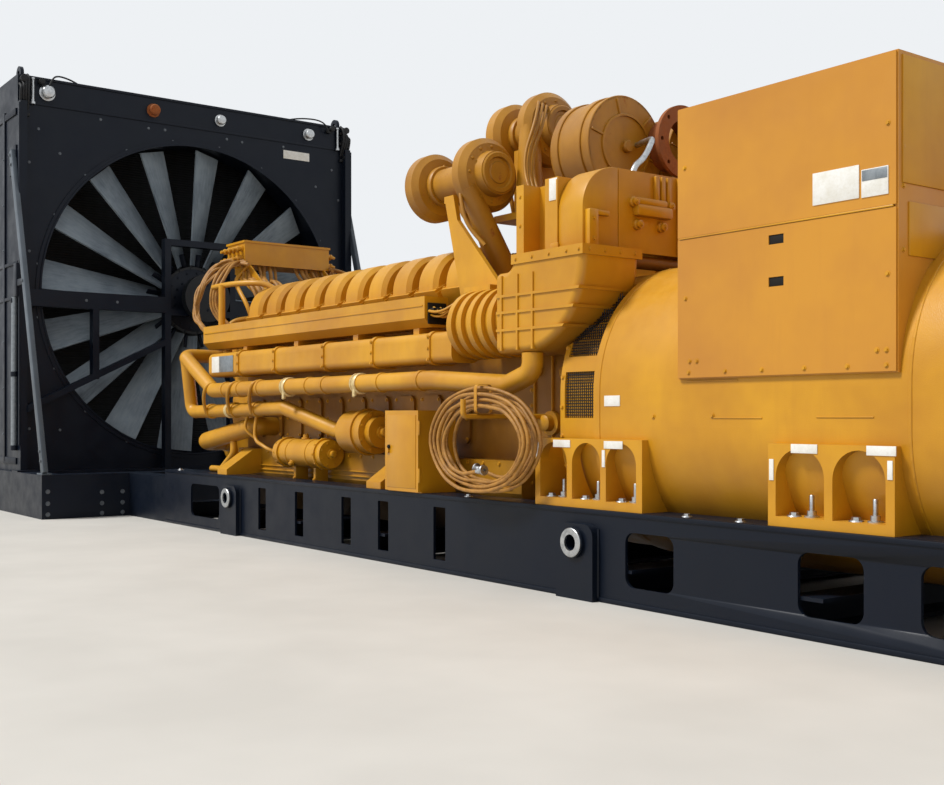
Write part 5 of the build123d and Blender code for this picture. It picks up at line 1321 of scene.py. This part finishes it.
class GENSET_OT_stage(bpy.types.Operator):
    """Camera, floor and lights"""

    bl_idname = "genset.stage"
    bl_label = "Stage"

    def execute(self, context):
        build_stage(context.scene.genset.stage)
        return {"FINISHED"}


class GENSET_OT_finishes(bpy.types.Operator):
    """Materials of the CAD pieces"""

    bl_idname = "genset.finishes"
    bl_label = "Finishes"

    def execute(self, context):
        MATERIALS.update(make_materials(context.scene.genset.enamel))
        for name, node in NODES.items():
            node.data.materials.clear()
            node.data.materials.append(MATERIALS[finish_for(name)])
        return {"FINISHED"}


class GENSET_OT_hose(bpy.types.Operator):
    """Hose on its hook, with its couplings"""

    bl_idname = "genset.hose"
    bl_label = "Coiled Hose"

    def execute(self, context):
        build_hose(context.scene.genset.hose)
        return {"FINISHED"}


class GENSET_OT_radiator(bpy.types.Operator):
    """Flanges, bolts, braces, fittings and hoses of the radiator"""

    bl_idname = "genset.radiator"
    bl_label = "Radiator"

    def execute(self, context):
        build_radiator(context.scene.genset.fasteners)
        return {"FINISHED"}


class GENSET_OT_fan(bpy.types.Operator):
    """Hub cover, blade clamps and bolts"""

    bl_idname = "genset.fan"
    bl_label = "Fan"

    def execute(self, context):
        build_fan(context.scene.genset.fasteners)
        return {"FINISHED"}


class GENSET_OT_engine(bpy.types.Operator):
    """Bolts, clamps, lines and fittings of the engine"""

    bl_idname = "genset.engine"
    bl_label = "Engine"

    def execute(self, context):
        build_engine(context.scene.genset.fasteners)
        return {"FINISHED"}


class GENSET_OT_turbochargers(bpy.types.Operator):
    """Inlet covers, clamps and oil lines"""

    bl_idname = "genset.turbochargers"
    bl_label = "Turbochargers"

    def execute(self, context):
        build_turbochargers(context.scene.genset.fasteners)
        return {"FINISHED"}


class GENSET_OT_air_path(bpy.types.Operator):
    """Rounded cooler ends, castings, bolts and pipes"""

    bl_idname = "genset.air_path"
    bl_label = "Air Path"

    def execute(self, context):
        build_air_path(context.scene.genset.fasteners)
        return {"FINISHED"}


class GENSET_OT_exhaust(bpy.types.Operator):
    """Bands, ribs and flange bolts"""

    bl_idname = "genset.exhaust"
    bl_label = "Exhaust"

    def execute(self, context):
        build_exhaust(context.scene.genset.fasteners)
        return {"FINISHED"}


class GENSET_OT_generator(bpy.types.Operator):
    """Screens, lips, studs, plates and bolts"""

    bl_idname = "genset.generator"
    bl_label = "Generator"

    def execute(self, context):
        build_generator(context.scene.genset.fasteners)
        return {"FINISHED"}


class GENSET_OT_skid(bpy.types.Operator):
    """Slotted rails, bolts, lug faces and welds"""

    bl_idname = "genset.skid"
    bl_label = "Skid"

    def execute(self, context):
        build_skid(context.scene.genset.fasteners)
        return {"FINISHED"}


class GENSET_OT_junction_box(bpy.types.Operator):
    """Hinge pins, pressing and latch of the door"""

    bl_idname = "genset.junction_box"
    bl_label = "Junction Box"

    def execute(self, context):
        build_junction_box()
        return {"FINISHED"}


OPERATORS = (
    GENSET_OT_stage,
    GENSET_OT_finishes,
    GENSET_OT_hose,
    GENSET_OT_radiator,
    GENSET_OT_fan,
    GENSET_OT_engine,
    GENSET_OT_turbochargers,
    GENSET_OT_air_path,
    GENSET_OT_exhaust,
    GENSET_OT_generator,
    GENSET_OT_skid,
    GENSET_OT_junction_box,
)


class GENSET_PT_parts(bpy.types.Panel):
    """Lists the operators and the settings"""

    bl_label = "Generating Set"
    bl_space_type = "VIEW_3D"
    bl_region_type = "UI"
    bl_category = "Generating Set"

    def draw(self, context):
        settings = context.scene.genset
        for group in (settings.enamel, settings.fasteners, settings.hose, settings.stage):
            box = self.layout.box()
            for name in group.__annotations__:
                box.prop(group, name)
        for operator in OPERATORS:
            self.layout.operator(operator.bl_idname)


SETTINGS = (EnamelSettings, FastenerSettings, HoseSettings, StageSettings, GensetSettings)


def register():
    for item in (*SETTINGS, *OPERATORS, GENSET_PT_parts):
        bpy.utils.register_class(item)
    bpy.types.Scene.genset = PointerProperty(type=GensetSettings)


def unregister():
    del bpy.types.Scene.genset
    for item in reversed((*SETTINGS, *OPERATORS, GENSET_PT_parts)):
        bpy.utils.unregister_class(item)


def main():
    register()
    for operator in OPERATORS:
        group, name = operator.bl_idname.split(".")
        getattr(getattr(bpy.ops, group), name)()


if __name__ == "__main__":
    main()
